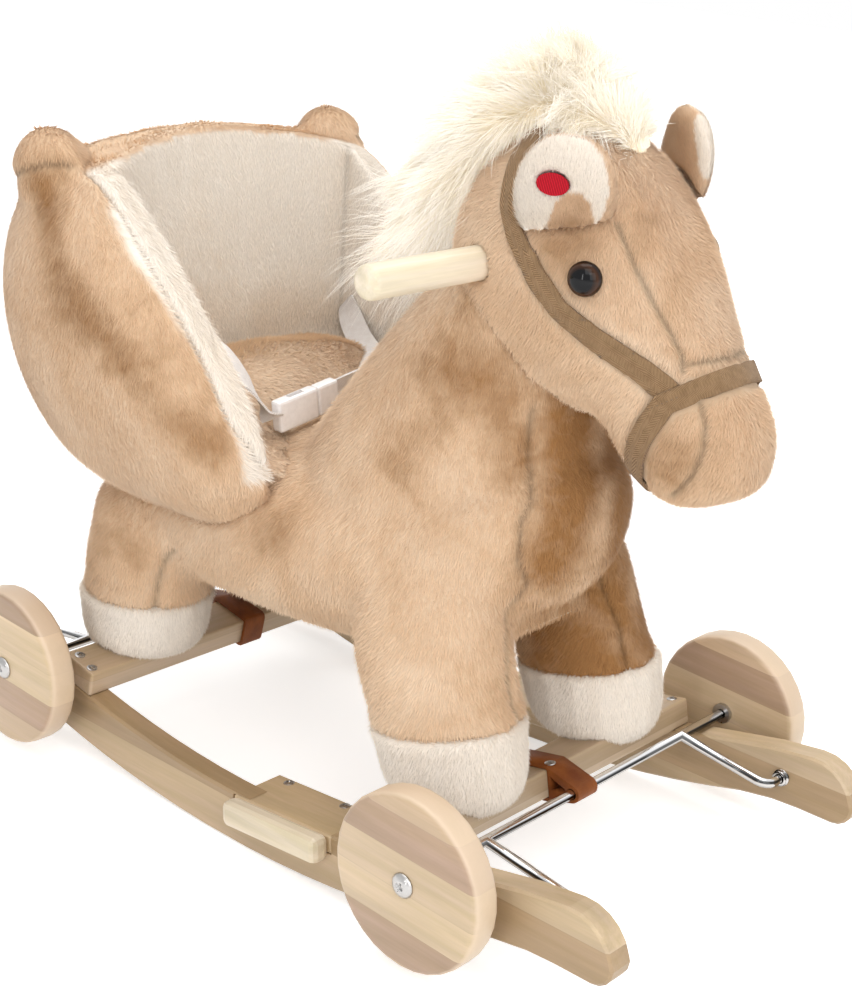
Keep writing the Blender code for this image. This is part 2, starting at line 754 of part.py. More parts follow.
def make_legs(rooms, beam_rooms, core_room):
    # height of a hoof's top at the middle of its beam, and how it leans
    cuff_top = {1: (0.1155, math.radians(-10)), -1: (0.1080, 0)}
    for end_name, end in (("front", 1), ("rear", -1)):
        height, lean = cuff_top[end]
        up = Vector((math.sin(lean), 0, math.cos(lean)))
        seam = Vector((end * beam_x, 0, height))
        half_space = (0.3, 0.3, 0.1)
        above = box(f"above_{end_name}_hooves", half_space, None, seam + up * 0.05, (0, lean, 0))
        below = box(f"below_{end_name}_legs", half_space, None, seam + up * (gap - 0.05), (0, lean, 0))
        rod_room = rod(
            f"{end_name}_rod_room", rod_radius + gap, 0.3, None, (end * axle_x, 0, axle_z),
            (math.pi / 2, 0, 0), sides=16,
        )
        for side_name, side in (("right", -1), ("left", 1)):
            spot = (end * beam_x, side * leg_y, height)
            leg = soft(
                f"leg_{end_name}_{side_name}", leg_rings(end, side), "tan_plush", sides=8, origin=spot
            )
            cut(leg, below, *rooms, core_room)
            hoof = soft(
                f"hoof_{end_name}_{side_name}", hoof_rings(end, side), "white_plush", sides=8, origin=spot
            )
            cut(hoof, above, beam_rooms[end], core_room)
            if end < 0:
                cut(hoof, rod_room)


# Bucket seat
def seat_rings():
    # height, rear end, front end, half width
    stations = [
        (0.178, -0.100, -0.100, 0), (0.184, -0.142, -0.058, 0.088), (0.196, -0.172, -0.036, 0.118),
        (0.214, -0.198, -0.012, 0.138), (0.243, -0.217, 0.004, 0.151), (0.271, -0.230, -0.007, 0.157),
        (0.304, -0.237, -0.032, 0.159), (0.338, -0.237, -0.065, 0.157), (0.373, -0.231, -0.098, 0.150),
        (0.402, -0.221, -0.126, 0.138), (0.417, -0.212, -0.146, 0.120), (0.423, -0.190, -0.190, 0),
    ]
    return [
        (((rear + front) / 2, 0, z), ((front - rear) / 2, 0, 0), (0, half, 0))
        for z, rear, front, half in stations
    ]


def rim_crown(point):
    """Lowers the rim towards its corners."""
    drop = 0.011 * (point.y / 0.12) ** 2 * max(0, min(1, (point.z - 0.30) / 0.12))
    return Vector((point.x, point.y, point.z - drop))


def seat_form(name, grow=0.0, finish=None):
    return soft(name, seat_rings(), finish, sides=12, square=4.9, grow=grow, shape=rim_crown)


def bucket(name, half, rear_corner, rear_middle, floor, front=0.06):
    """The space between the wings: open at the front, with a gently curved back."""
    bulge = rear_corner - rear_middle
    radius = (half * half + bulge * bulge) / (2 * bulge)
    spread = math.degrees(math.asin(half / radius))
    back = arc((rear_middle + radius, 0), radius, 180 + spread, 180 - spread, 8)
    outline = [(front, -half)] + back + [(front, half)]
    height = 0.30
    return board(name, [outline], height, None, (0, 0, floor + height / 2))


def lining_block(name, half, back, low, tip):
    """Front view of the lining, whose lower ends run to a point beside the cushion."""
    outline = [(-half, 0.48), (-half, tip), (-0.09, low), (0.09, low), (half, tip), (half, 0.48)]
    length = 0.09 - back
    return board(
        name, [outline], length, None, (back + length / 2, 0, 0), (math.pi / 2, 0, math.pi / 2)
    )


def make_seat(floor):
    low, tip = floor + 0.010, floor + 0.052
    shell = seat_form("seat_shell", 0.0, "tan_plush")
    for side_name, side in (("right", -1), ("left", 1)):
        knob = ball(
            f"knob_{side_name}", (0.027, 0.027, 0.031), None, (-0.184, side * 0.120, 0.395),
            across=12, rings=7,
        )
        combine(shell, knob, "UNION")
    inner = bucket("seat_room", seat_inner_half, -0.150, -0.178, floor)
    cut(shell, inner, lining_block("lining_room", seat_lining_half + gap, -0.1895, low - gap, tip - gap))
    lining = seat_form("seat_lining", 0.0, "white_plush")
    combine(lining, lining_block("lining_form", seat_lining_half, -0.1892, low, tip), "INTERSECT")
    cut(lining, inner)
    # the barrel and neck give way to the seat, but not to the space inside it
    seat_block = seat_form("seat_block", 0.0008)
    cut(seat_block, bucket("seat_space", seat_inner_half - gap, -0.1497, -0.1777, floor + gap))
    return seat_block


def make_cushion(body_room, floor):
    half = seat_inner_half - 0.0005
    # height, rear end, front end, half width
    stations = (
        (0.0005, -0.095, -0.095, 0), (0.0025, -0.150, 0.000, 0.080), (0.009, -0.168, 0.008, 0.096),
        (0.016, -0.172, -0.008, 0.0990), (0.026, -0.172, -0.052, 0.0985), (0.041, -0.170, -0.080, 0.095),
        (0.053, -0.154, -0.100, 0.074), (0.057, -0.128, -0.128, 0),
    )
    rings = []
    for z, rear, front, width in stations:
        middle = ((rear + front) / 2, 0, floor + z)
        rings.append((middle, ((front - rear) / 2, 0, 0), (0, min(width, half), 0)))
    cushion = soft("seat_cushion", rings, "tan_plush", sides=10, square=4.7)
    outline = bucket("cushion_outline", half, -0.1494, -0.1774, floor + 0.0003)
    combine(cushion, outline, "INTERSECT")
    cut(cushion, body_room)
    return cushion


# Lap belt with a side-release buckle, its webbing standing on edge
buckle_end = Vector((-0.0460, -0.0570, 0.2566))
buckle_along = Vector((0.02, 1, 0.15)).normalized()


def ribbon(name, path, width, thickness, finish):
    bm = bmesh.new()
    loops = []
    for i, point in enumerate(path):
        before, after = Vector(path[max(i - 1, 0)]), Vector(path[min(i + 1, len(path) - 1)])
        along = (after - before).normalized()
        face = Vector((along.y, -along.x, 0)).normalized() * thickness / 2
        up = Vector((0, 0, width / 2))
        middle = Vector(point)
        corners = ((face, up), (-face, up), (-face, -up), (face, -up))
        loops.append([bm.verts.new(middle + a + b) for a, b in corners])
    for low, high in zip(loops, loops[1:]):
        for k in range(4):
            bm.faces.new((low[k], low[(k + 1) % 4], high[(k + 1) % 4], high[k]))
    bm.faces.new(loops[0])
    bm.faces.new(loops[-1][::-1])
    return finish_mesh(name, bm, finish, smooth=False)


def make_belt():
    housing_length, tongue_length = 0.034, 0.018
    turn = buckle_along.to_track_quat("Y", "Z").to_euler()

    def along(distance):
        return buckle_end + buckle_along * distance

    housing = box(
        "buckle_housing", (0.0090, housing_length, 0.0215), "white_plastic", along(housing_length / 2), turn,
        bevel=0.0020, segments=2,
    )
    mouth = box("buckle_mouth", (0.0046, 0.030, 0.0160), None, along(housing_length - 0.0130), turn)
    slots = box("buckle_side_slots", (0.0040, 0.0130, 0.040), None, along(housing_length - 0.0165), turn)
    cut(housing, mouth, slots)
    start_of_tongue = housing_length + gap
    tongue = box(
        "buckle_tongue", (0.0084, tongue_length, 0.0210), "white_plastic",
        along(start_of_tongue + tongue_length / 2), turn, bevel=0.0018, segments=2,
    )
    half_prong = [
        (0.0072, 0.004), (0.0072, -0.0180), (0.0058, -0.0215), (0.0042, -0.0200), (0.0044, -0.004),
        (0.0015, -0.004), (0.0015, -0.020),
    ]
    outline = half_prong + [(-x, y) for x, y in reversed(half_prong)]
    lay = buckle_along.to_track_quat("Y", "Z")
    on_edge = Matrix.Rotation(math.pi / 2, 4, "Y")
    stand = (Matrix.Rotation(lay.angle, 4, lay.axis) @ on_edge).to_euler()
    prongs = board("tongue_prongs", [outline], 0.0032, None, along(start_of_tongue), stand)
    combine(tongue, prongs, "UNION")
    near_end, far_end = along(-6 * gap), along(start_of_tongue + tongue_length + 6 * gap)
    near = [
        (-0.1400, -0.0985, 0.2900), (-0.1150, -0.0965, 0.2985), (-0.0880, -0.0925, 0.3045),
        (-0.0690, -0.0850, 0.2990), (-0.0550, -0.0750, 0.2820), (-0.0480, -0.0650, 0.2640), tuple(near_end),
    ]
    ribbon("belt_right", near, belt_width, belt_thickness, "webbing")
    far = [
        tuple(far_end), (-0.0480, 0.0180, 0.2710), (-0.0590, 0.0440, 0.2770), (-0.0800, 0.0710, 0.2830),
        (-0.1110, 0.0900, 0.2870), (-0.1400, 0.0985, 0.2880),
    ]
    ribbon("belt_left", far, belt_width, belt_thickness, "webbing")
    return housing, tongue


def main():
    start()
    beam_rooms = {1: make_beam("beam_front", 1), -1: make_beam("beam_rear", -1)}
    for side_name, side in (("right", -1), ("left", 1)):
        y = side * (track_half - board_thickness / 2)
        make_rocker(side_name, y, beam_rooms)
        make_footrest(side_name, y)
        for end_name, end in (("front", 1), ("rear", -1)):
            make_wheel(end_name, end, side_name, side)
            make_collar(end_name, end, side_name, side)
    make_frame("wheel_frame_front", 1)
    make_frame("wheel_frame_rear", -1)
    make_retainer("retainer_front", 1, -0.009)
    make_retainer("retainer_rear", -1, 0.010)

    core_room = make_core()
    handle_room = make_handle()
    body, body_room = make_body()
    head_room = head_form("head_room", 0.0005)
    strap_room = head_form("strap_room", strap_lift + gap)
    head = head_form("head", 0.0, "tan_plush")
    cut(head, body_room, handle_room)
    floor = 0.218
    seat_block = make_seat(floor)
    make_cushion(body_room, floor)
    cut(body, seat_block, handle_room, core_room)
    make_bridle(head_room)
    make_ears(head_room, strap_room)
    make_eyes(head_room)
    make_hair([strap_room, body_room, handle_room])
    make_legs([body_room, seat_block], beam_rooms, core_room)
    make_belt()


main()
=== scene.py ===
# Looks of a plush horse on wooden rockers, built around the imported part
import json
import math

import bmesh
import bpy
import numpy as np
from mathutils import Matrix, Vector, noise
from mathutils.bvhtree import BVHTree


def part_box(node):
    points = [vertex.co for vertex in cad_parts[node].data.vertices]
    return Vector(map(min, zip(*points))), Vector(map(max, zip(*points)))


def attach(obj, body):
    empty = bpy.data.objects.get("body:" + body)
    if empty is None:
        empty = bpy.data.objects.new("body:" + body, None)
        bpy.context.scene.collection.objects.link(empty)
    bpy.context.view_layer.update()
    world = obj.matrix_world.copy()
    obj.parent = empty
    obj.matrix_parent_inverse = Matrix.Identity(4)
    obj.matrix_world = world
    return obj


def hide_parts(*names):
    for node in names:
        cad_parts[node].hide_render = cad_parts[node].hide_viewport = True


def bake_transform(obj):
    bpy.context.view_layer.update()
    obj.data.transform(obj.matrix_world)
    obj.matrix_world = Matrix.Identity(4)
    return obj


# without this the noise below would start from the clock, and each run would differ a little
noise.seed_set(7)
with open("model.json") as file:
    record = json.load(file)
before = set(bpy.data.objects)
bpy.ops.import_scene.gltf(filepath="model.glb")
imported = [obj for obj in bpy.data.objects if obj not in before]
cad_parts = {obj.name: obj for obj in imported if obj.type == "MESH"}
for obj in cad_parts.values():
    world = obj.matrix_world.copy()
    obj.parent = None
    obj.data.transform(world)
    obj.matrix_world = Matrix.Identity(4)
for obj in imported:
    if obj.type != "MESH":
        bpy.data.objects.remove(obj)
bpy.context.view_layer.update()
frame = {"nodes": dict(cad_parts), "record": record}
scene = bpy.context.scene
print("frame loaded:", len(frame["nodes"]), "nodes")


# Small helpers
def link(obj):
    scene.collection.objects.link(obj)
    return obj


def newObject(name, bm):
    mesh = bpy.data.meshes.new(name)
    bm.to_mesh(mesh)
    bm.free()
    return link(bpy.data.objects.new(name, mesh))


def cadCopy(name, *nodes):
    # one mesh from copies of CAD nodes, with their doubles merged
    bm = bmesh.new()
    for each in nodes:
        bm.from_mesh(frame["nodes"][each].data)
    bmesh.ops.remove_doubles(bm, verts=bm.verts, dist=1e-5)
    return newObject(name, bm)


def bake(obj):
    # the modifiers' result becomes the object's own mesh
    bpy.context.view_layer.update()
    graph = bpy.context.evaluated_depsgraph_get()
    mesh = bpy.data.meshes.new_from_object(
        obj.evaluated_get(graph), preserve_all_data_layers=True, depsgraph=graph)
    obj.modifiers.clear()
    obj.data = mesh
    return obj


def getPoints(obj, what="co"):
    values = np.empty(len(obj.data.vertices) * 3)
    obj.data.vertices.foreach_get(what, values)
    return values.reshape(-1, 3)


def setPoints(obj, points):
    obj.data.vertices.foreach_set("co", points.ravel())
    obj.data.update()


def averaged(obj, values, rounds, weight=1.0, share=0.5):
    # each point's vector drawn towards the mean of its neighbours' vectors
    ends = np.empty(len(obj.data.edges) * 2, int)
    obj.data.edges.foreach_get("vertices", ends)
    a, b = ends[0::2], ends[1::2]
    count = np.maximum(np.bincount(ends, minlength=len(values)), 1)
    weight = np.broadcast_to(weight, len(values))[:, None]
    for turn in range(rounds):
        mean = np.stack([
            np.bincount(a, values[b, k], len(values)) + np.bincount(b, values[a, k], len(values))
            for k in range(3)], 1) / count[:, None]
        values = values + (mean - values) * share * weight
    return values


def relax(obj, rounds, weight=1.0):
    # softens the facets, then gives back the size that softening takes off
    before = getPoints(obj)
    after = averaged(obj, before, rounds, weight)
    setPoints(obj, after + averaged(obj, before - after, rounds))


def remesh(obj, size):
    made = obj.modifiers.new("remesh", "REMESH")
    made.mode, made.voxel_size = "VOXEL", size
    bake(obj)


def setFinish(obj, mat):
    obj.data.materials.clear()
    obj.data.materials.append(mat)


def shadeSmooth(obj, angle=None):
    obj.data.shade_smooth()
    if angle is not None:
        obj.data.set_sharp_from_angle(angle=math.radians(angle))


def storeFloat(obj, name, values):
    made = obj.data.attributes.get(name) or obj.data.attributes.new(name, "FLOAT", "POINT")
    made.data.foreach_set("value", np.broadcast_to(values, len(obj.data.vertices)).astype(np.float32))


def storeVector(obj, name, values):
    made = obj.data.attributes.get(name) or obj.data.attributes.new(name, "FLOAT_VECTOR", "POINT")
    made.data.foreach_set("vector", values.astype(np.float32).ravel())


def lineDistance(points, line):
    # distance of each point to a polyline
    best = np.full(len(points), 9.0)
    for start, end in zip(np.array(line[:-1]), np.array(line[1:])):
        along = end - start
        t = np.clip(((points - start) @ along) / max(along @ along, 1e-12), 0, 1)
        best = np.minimum(best, np.linalg.norm(points - start - t[:, None] * along, axis=1))
    return best


def fading(points, line, radius):
    # 1 on the polyline, fading out with the distance from it
    return np.exp(-(lineDistance(points, line) / radius) ** 2)


def objectTree(obj):
    return BVHTree.FromObject(obj, bpy.context.evaluated_depsgraph_get())


def surfaceTree(*nodes):
    # for measuring from the surfaces of CAD nodes
    vertices, faces = [], []
    for each in nodes:
        data, start = frame["nodes"][each].data, len(vertices)
        vertices += [v.co for v in data.vertices]
        faces += [[start + i for i in face.vertices] for face in data.polygons]
    return BVHTree.FromPolygons(vertices, faces)


def snapped(line, tree, step=0.004):
    # the polyline in short steps, each moved onto the nearest surface
    spots = []
    for start, end in zip(line[:-1], line[1:]):
        start, end = Vector(start), Vector(end)
        count = max(1, round((end - start).length / step))
        spots += [start.lerp(end, k / count) for k in range(count)]
    spots.append(Vector(line[-1]))
    return [tuple(tree.find_nearest(spot)[0]) for spot in spots]


def openness(points, nodes, near=0.003, far=0.013):
    # 0 beside the given CAD nodes, rising to 1 away from them
    if not nodes:
        return np.ones(len(points))
    tree = surfaceTree(*nodes)
    found = [tree.find_nearest(p, far) for p in points]
    away = np.array([far if hit[0] is None else hit[3] for hit in found])
    share = np.clip((away - near) / (far - near), 0, 1)
    return share * share * (3 - 2 * share)


def smoothNoise(points, scale, seed):
    shift = Vector((seed * 3.1, seed * 7.7, seed * 1.3))
    return np.array([noise.noise_vector(Vector(p) * scale + shift) for p in points])


# Materials
def plug(tree, socket, value):
    # a number, a socket, or a node, which stands for its first output
    if isinstance(value, bpy.types.Node):
        value = value.outputs[0]
    if isinstance(value, bpy.types.NodeSocket):
        tree.links.new(value, socket)
    else:
        socket.default_value = value


def addNode(tree, kind, inputs=None, **settings):
    made = tree.nodes.new(kind)
    for key, value in settings.items():
        setattr(made, key, value)
    for key, value in (inputs or {}).items():
        plug(tree, made.inputs[key], value)
    return made


def newMaterial(name, roughness, metallic=0.0, **sockets):
    made = bpy.data.materials.new(name)
    made.use_nodes = True
    shader = made.node_tree.nodes["Principled BSDF"]
    shader.inputs["Roughness"].default_value = roughness
    shader.inputs["Metallic"].default_value = metallic
    for key, value in sockets.items():
        shader.inputs[key.replace("_", " ")].default_value = value
    return made, made.node_tree, shader


def ramp(tree, factor, stops):
    made = addNode(tree, "ShaderNodeValToRGB", {0: factor})
    band = made.color_ramp
    while len(band.elements) < len(stops):
        band.elements.new(0.5)
    for element, (place, colour) in zip(band.elements, stops):
        element.position, element.color = place, (*colour, 1)
    return made.outputs[0]


def mixColour(tree, factor, first, second, blend="MIX"):
    made = addNode(tree, "ShaderNodeMix", {0: factor}, data_type="RGBA", blend_type=blend)
    for place, colour in ((6, first), (7, second)):
        plug(tree, made.inputs[place], (*colour, 1) if isinstance(colour, tuple) else colour)
    return made.outputs[2]


def darkened(tree, colour, red, green, blue):
    # each part of a colour times its own factor
    factor = addNode(tree, "ShaderNodeCombineColor", {0: red, 1: green, 2: blue})
    return mixColour(tree, 1.0, colour, factor.outputs[0], "MULTIPLY")


def maths(tree, operation, first, second=0.0, third=0.0):
    return addNode(tree, "ShaderNodeMath", {0: first, 1: second, 2: third}, operation=operation).outputs[0]


def product(tree, first, *factors):
    for factor in factors:
        first = maths(tree, "MULTIPLY", first, factor)
    return first


def spread(tree, value, low, high, start=0.0, end=1.0):
    # the range from start to end becomes the range from low to high
    return addNode(tree, "ShaderNodeMapRange", {
        "Value": value, "From Min": start, "From Max": end, "To Min": low, "To Max": high}).outputs[0]


def clouds(tree, place, scale, detail, distortion=0.0):
    return addNode(tree, "ShaderNodeTexNoise", {
        "Vector": place, "Scale": scale, "Detail": detail, "Distortion": distortion}).outputs[0]


def objectPlace(tree):
    return addNode(tree, "ShaderNodeTexCoord").outputs["Object"]


def attribute(tree, name):
    return addNode(tree, "ShaderNodeAttribute", attribute_name=name).outputs["Fac"]


def bump(tree, shader, height, strength, distance):
    made = addNode(tree, "ShaderNodeBump", {"Height": height, "Strength": strength, "Distance": distance})
    plug(tree, shader.inputs["Normal"], made)


def setColour(tree, shader, colour):
    plug(tree, shader.inputs["Base Color"], colour)


plushLooks = {
    "tanPlush": dict(light=(0.88, 0.68, 0.49), middle=(0.78, 0.55, 0.355), dark=(0.40, 0.20, 0.075)),
    # painted light: the cushion's copy of the tan plush is paler, to brighten it where it lies in the seat's shade
    "cushionPlushPaintedLight": dict(light=(0.98, 0.80, 0.61), middle=(0.93, 0.73, 0.54), dark=(0.60, 0.38, 0.20)),
    "whitePlush": dict(light=(1.00, 0.93, 0.84), middle=(0.99, 0.905, 0.80), dark=(0.90, 0.77, 0.63)),
}


def plushMaterial(name, look, second=None):
    mat, tree, shader = newMaterial(
        name, 0.9, Sheen_Weight=0.35, Sheen_Roughness=0.4, Specular_IOR_Level=0.1)
    shader.inputs["Sheen Tint"].default_value = (1.0, 0.93, 0.85, 1)
    place = objectPlace(tree)
    shade = maths(tree, "MULTIPLY_ADD", clouds(tree, place, 15.0, 2.0, 0.8), 0.55, 0.155)
    shade = maths(tree, "MULTIPLY_ADD", clouds(tree, place, 90.0, 3.0, 1.0), 0.18, shade)
    # darker where the pile parts, and painted shade in folds, under parts and on the sides turned from the light
    shade = maths(tree, "MULTIPLY_ADD", attribute(tree, "napToneAndShade"), -0.42, shade)

    def coloured(values):
        return ramp(tree, shade, [(0.16, values["dark"]), (0.42, values["middle"]), (0.62, values["light"])])

    colour = coloured(look)
    if second:
        colour = mixColour(tree, attribute(tree, "whiteness"), colour, coloured(second))
    # each strand has its own tone, its root is darker than its tip as painted shade deep in the pile, and seams are
    # darker still
    amount = product(tree, *(spread(tree, attribute(tree, name), low, high) for name, low, high in (
        ("strandShade", 0.93, 1.06), ("strandTip", 0.90, 1.03), ("seamShade", 1.0, 0.42))))
    setColour(tree, shader, darkened(tree, colour, amount, amount, amount))
    bump(tree, shader, clouds(tree, place, 900.0, 2.0), 0.3, 0.0005)
    return mat


tanPlush = plushMaterial("tanPlush", plushLooks["tanPlush"])
whitePlush = plushMaterial("whitePlush", plushLooks["whitePlush"])
cushionPlushPaintedLight = plushMaterial("cushionPlushPaintedLight", plushLooks["cushionPlushPaintedLight"])
twoTonePlush = plushMaterial("twoTonePlush", plushLooks["tanPlush"], plushLooks["whitePlush"])


def hairMaterial():
    mat, tree, shader = newMaterial(
        "creamHair", 0.6, Sheen_Weight=0.5, Sheen_Roughness=0.4, Specular_IOR_Level=0.2)
    # thin white strands pass light on to each other: a weak glow stands for it
    shader.inputs["Emission Color"].default_value = (1.0, 0.92, 0.78, 1)
    shader.inputs["Emission Strength"].default_value = 0.08
    shade = maths(tree, "MULTIPLY_ADD", attribute(tree, "strandShade"), 0.25, -0.05)
    shade = maths(tree, "MULTIPLY_ADD", clouds(tree, objectPlace(tree), 26.0, 3.0, 0.6), 0.5, shade)
    shade = maths(tree, "MULTIPLY_ADD", attribute(tree, "strandTip"), 0.45, shade)
    setColour(tree, shader, ramp(tree, shade, [
        (0.05, (0.93, 0.80, 0.56)), (0.40, (1.0, 0.925, 0.78)), (0.8, (1.0, 0.97, 0.92))]))
    return mat


creamHair = hairMaterial()


def woodMaterial(name, tones, turn=(0, 0, 0), strip=0.03, roughness=0.45, rim=None):
    # jointed strips: each strip of the board has its own tone, and the grain runs along local X
    mat, tree, shader = newMaterial(name, roughness, Coat_Weight=0.2, Coat_Roughness=0.3)
    turned = addNode(tree, "ShaderNodeMapping", {"Vector": objectPlace(tree), "Rotation": turn})
    x, y, z = addNode(tree, "ShaderNodeSeparateXYZ", {0: turned}).outputs
    row = maths(tree, "FLOOR", maths(tree, "DIVIDE", z, strip))
    pick = addNode(tree, "ShaderNodeTexWhiteNoise", {"W": row}, noise_dimensions="1D")
    colour = ramp(tree, pick.outputs["Value"], [(0.15, tones[0]), (0.5, tones[1]), (0.85, tones[2])])
    moved = addNode(tree, "ShaderNodeCombineXYZ", {0: maths(tree, "MULTIPLY_ADD", row, 0.37, x), 1: y, 2: z})

    def streaks(stretch, scale, detail, distortion=0.4):
        stretched = addNode(tree, "ShaderNodeMapping", {"Vector": moved, "Scale": stretch})
        return clouds(tree, stretched, scale, detail, distortion)

    broad = spread(tree, streaks((1.6, 16.0, 16.0), 2.2, 2.0, 0.6), 0.80, 1.08, 0.3, 0.7)
    grain = spread(tree, streaks((3.0, 60.0, 60.0), 3.0, 4.0), 0.92, 1.05, 0.3, 0.7)
    height = streaks((14.0, 220.0, 220.0), 3.0, 2.0)
    pores = spread(tree, height, 0.95, 1.02, 0.3, 0.7)
    # the glue line between two strips
    edge = spread(tree, maths(tree, "PINGPONG", z, strip / 2), 0.86, 1.0, 0.0, 0.0004)
    amount = product(tree, broad, grain, product(tree, pores, edge))
    colour = darkened(tree, colour, amount, amount, product(tree, amount, grain))
    if rim:
        # the rounded rim is paler
        colour = mixColour(tree, product(tree, attribute(tree, "rimShare"), 0.75), colour, rim)
    setColour(tree, shader, colour)
    bump(tree, shader, height, 0.12, 0.0004)
    return mat


woodTones = {
    "rocker": ((0.42, 0.285, 0.155), (0.51, 0.365, 0.215), (0.60, 0.45, 0.285)),
    "beam": ((0.52, 0.375, 0.235), (0.60, 0.45, 0.305), (0.68, 0.53, 0.375)),
    "pale": ((0.72, 0.60, 0.42), (0.79, 0.67, 0.49), (0.84, 0.73, 0.56)),
    "wheel": ((0.45, 0.305, 0.205), (0.57, 0.41, 0.27), (0.68, 0.52, 0.335)),
    "plate": ((0.44, 0.31, 0.165), (0.53, 0.385, 0.22), (0.62, 0.47, 0.30)),
}


def metalMaterial(name, colour, roughness):
    mat, tree, shader = newMaterial(name, roughness, 1.0)
    scratch = clouds(tree, objectPlace(tree), 160.0, 3.0)
    setColour(tree, shader, ramp(tree, scratch, [(0.3, tuple(c * 0.86 for c in colour)), (0.7, colour)]))
    plug(tree, shader.inputs["Roughness"], spread(tree, scratch, roughness * 0.7, roughness * 1.6))
    return mat


def chromeMaterial():
    # bright plate with a painted reflection: dark and light streaks along a rod come with the way its surface faces
    mat, tree, shader = newMaterial("rodChromePaintedReflection", 0.12, 1.0)
    facing = addNode(tree, "ShaderNodeSeparateXYZ", {0: addNode(tree, "ShaderNodeTexCoord").outputs["Normal"]})
    height = maths(tree, "MULTIPLY_ADD", facing.outputs[2], 0.5, 0.5)
    setColour(tree, shader, ramp(tree, height, [
        (0.05, (0.26, 0.25, 0.24)), (0.42, (0.60, 0.58, 0.56)), (0.57, (0.50, 0.48, 0.46)),
        (0.64, (0.06, 0.06, 0.06)), (0.82, (0.05, 0.05, 0.05)), (0.88, (0.55, 0.55, 0.56)),
        (0.96, (0.88, 0.88, 0.89))]))
    return mat


rodChromePaintedReflection = chromeMaterial()
screwSteel = metalMaterial("screwSteel", (0.50, 0.49, 0.48), 0.28)
boltBlack = metalMaterial("boltBlack", (0.05, 0.05, 0.05), 0.45)


def leatherMaterial():
    mat, tree, shader = newMaterial("strapLeather", 0.55, Specular_IOR_Level=0.25)
    place = objectPlace(tree)
    pebble = addNode(tree, "ShaderNodeTexVoronoi", {"Vector": place, "Scale": 900.0})
    setColour(tree, shader, ramp(tree, clouds(tree, place, 60.0, 4.0), [
        (0.3, (0.14, 0.034, 0.006)), (0.7, (0.27, 0.080, 0.014))]))
    bump(tree, shader, pebble, 0.35, 0.0004)
    return mat


strapLeather = leatherMaterial()


def webbingMaterial(name, dark, light, columns, pitch):
    # chevrons of a herringbone tape: U runs along the tape and V across it, in metres
    mat, tree, shader = newMaterial(name, 0.85, Sheen_Weight=0.15, Specular_IOR_Level=0.2)
    place = addNode(tree, "ShaderNodeUVMap", uv_map="tape")
    u, v = addNode(tree, "ShaderNodeSeparateXYZ", {0: place}).outputs[:2]
    line = maths(tree, "ADD", u, maths(tree, "PINGPONG", v, columns))
    thread = maths(tree, "SINE", product(tree, line, 2 * math.pi / pitch))
    height = maths(tree, "MULTIPLY_ADD", thread, 0.5, 0.5)
    worn = clouds(tree, objectPlace(tree), 240.0, 3.0)
    shade = maths(tree, "MULTIPLY_ADD", worn, 0.5, product(tree, height, 0.5))
    setColour(tree, shader, ramp(tree, shade, [(0.25, dark), (0.75, light)]))
    bump(tree, shader, height, 0.6, 0.0004)
    return mat


bridleTape = webbingMaterial("bridleTape", (0.168, 0.096, 0.043), (0.36, 0.225, 0.118), 0.0032, 0.0013)
beltTape = webbingMaterial("beltTape", (0.70, 0.64, 0.60), (0.90, 0.87, 0.85), 0.0200, 0.0012)


def plasticMaterial(name, colour, roughness, gloss=0.0):
    mat, tree, shader = newMaterial(name, roughness, Coat_Weight=gloss, Coat_Roughness=0.08)
    speck = clouds(tree, objectPlace(tree), 400.0, 2.0)
    setColour(tree, shader, ramp(tree, speck, [(0.3, tuple(c * 0.93 for c in colour)), (0.7, colour)]))
    bump(tree, shader, speck, 0.05, 0.0002)
    return mat


stitchThread = plasticMaterial("stitchThread", (0.22, 0.14, 0.075), 0.8)
bucklePlastic = plasticMaterial("bucklePlastic", (0.94, 0.91, 0.90), 0.3, 0.2)
print("materials made")


# Trees of geometry nodes
def newTree(name, sockets):
    tree = bpy.data.node_groups.new(name, "GeometryNodeTree")
    tree.interface.new_socket("Geometry", in_out="INPUT", socket_type="NodeSocketGeometry")
    for title, kind, value in sockets:
        made = tree.interface.new_socket(title, in_out="INPUT", socket_type="NodeSocket" + kind)
        if value is not None:
            made.default_value = value
    tree.interface.new_socket("Geometry", in_out="OUTPUT", socket_type="NodeSocketGeometry")
    return tree, tree.nodes.new("NodeGroupInput").outputs, tree.nodes.new("NodeGroupOutput")


def runTree(obj, tree, values):
    made = obj.modifiers.new("grow", "NODES")
    made.node_group = tree
    names = {item.name: item.identifier for item in tree.interface.items_tree if item.in_out == "INPUT"}
    for key, value in values.items():
        made[names[key]] = value
    bake(obj)


def vectors(tree, operation, first, second=None, scale=None):
    inputs = {0: first, 1: second, "Scale": scale}
    return addNode(tree, "ShaderNodeVectorMath", {
        key: value for key, value in inputs.items() if value is not None}, operation=operation).outputs[0]


def named(tree, name, kind="FLOAT"):
    return addNode(tree, "GeometryNodeInputNamedAttribute", {"Name": name}, data_type=kind).outputs[0]


def stored(tree, geometry, name, value, kind="FLOAT", domain="INSTANCE"):
    return addNode(tree, "GeometryNodeStoreNamedAttribute", {
        "Geometry": geometry, "Name": name, "Value": value}, data_type=kind, domain=domain)


def randomNumber(tree, low, high, seed):
    return addNode(tree, "FunctionNodeRandomValue", {2: low, 3: high, "Seed": seed}, data_type="FLOAT").outputs[1]


def randomVector(tree, seed):
    return addNode(tree, "FunctionNodeRandomValue", {
        0: (-1.0, -1.0, -1.0), 1: (1.0, 1.0, 1.0), "Seed": seed}, data_type="FLOAT_VECTOR").outputs[0]


def turned(tree, along, facing, axis="Y"):
    # Z stands along the first direction, and the axis looks along the second
    turn = addNode(tree, "FunctionNodeAlignRotationToVector", {"Vector": along}, axis="Z")
    return addNode(tree, "FunctionNodeAlignRotationToVector", {
        "Rotation": turn, "Vector": facing}, axis=axis, pivot_axis="Z")


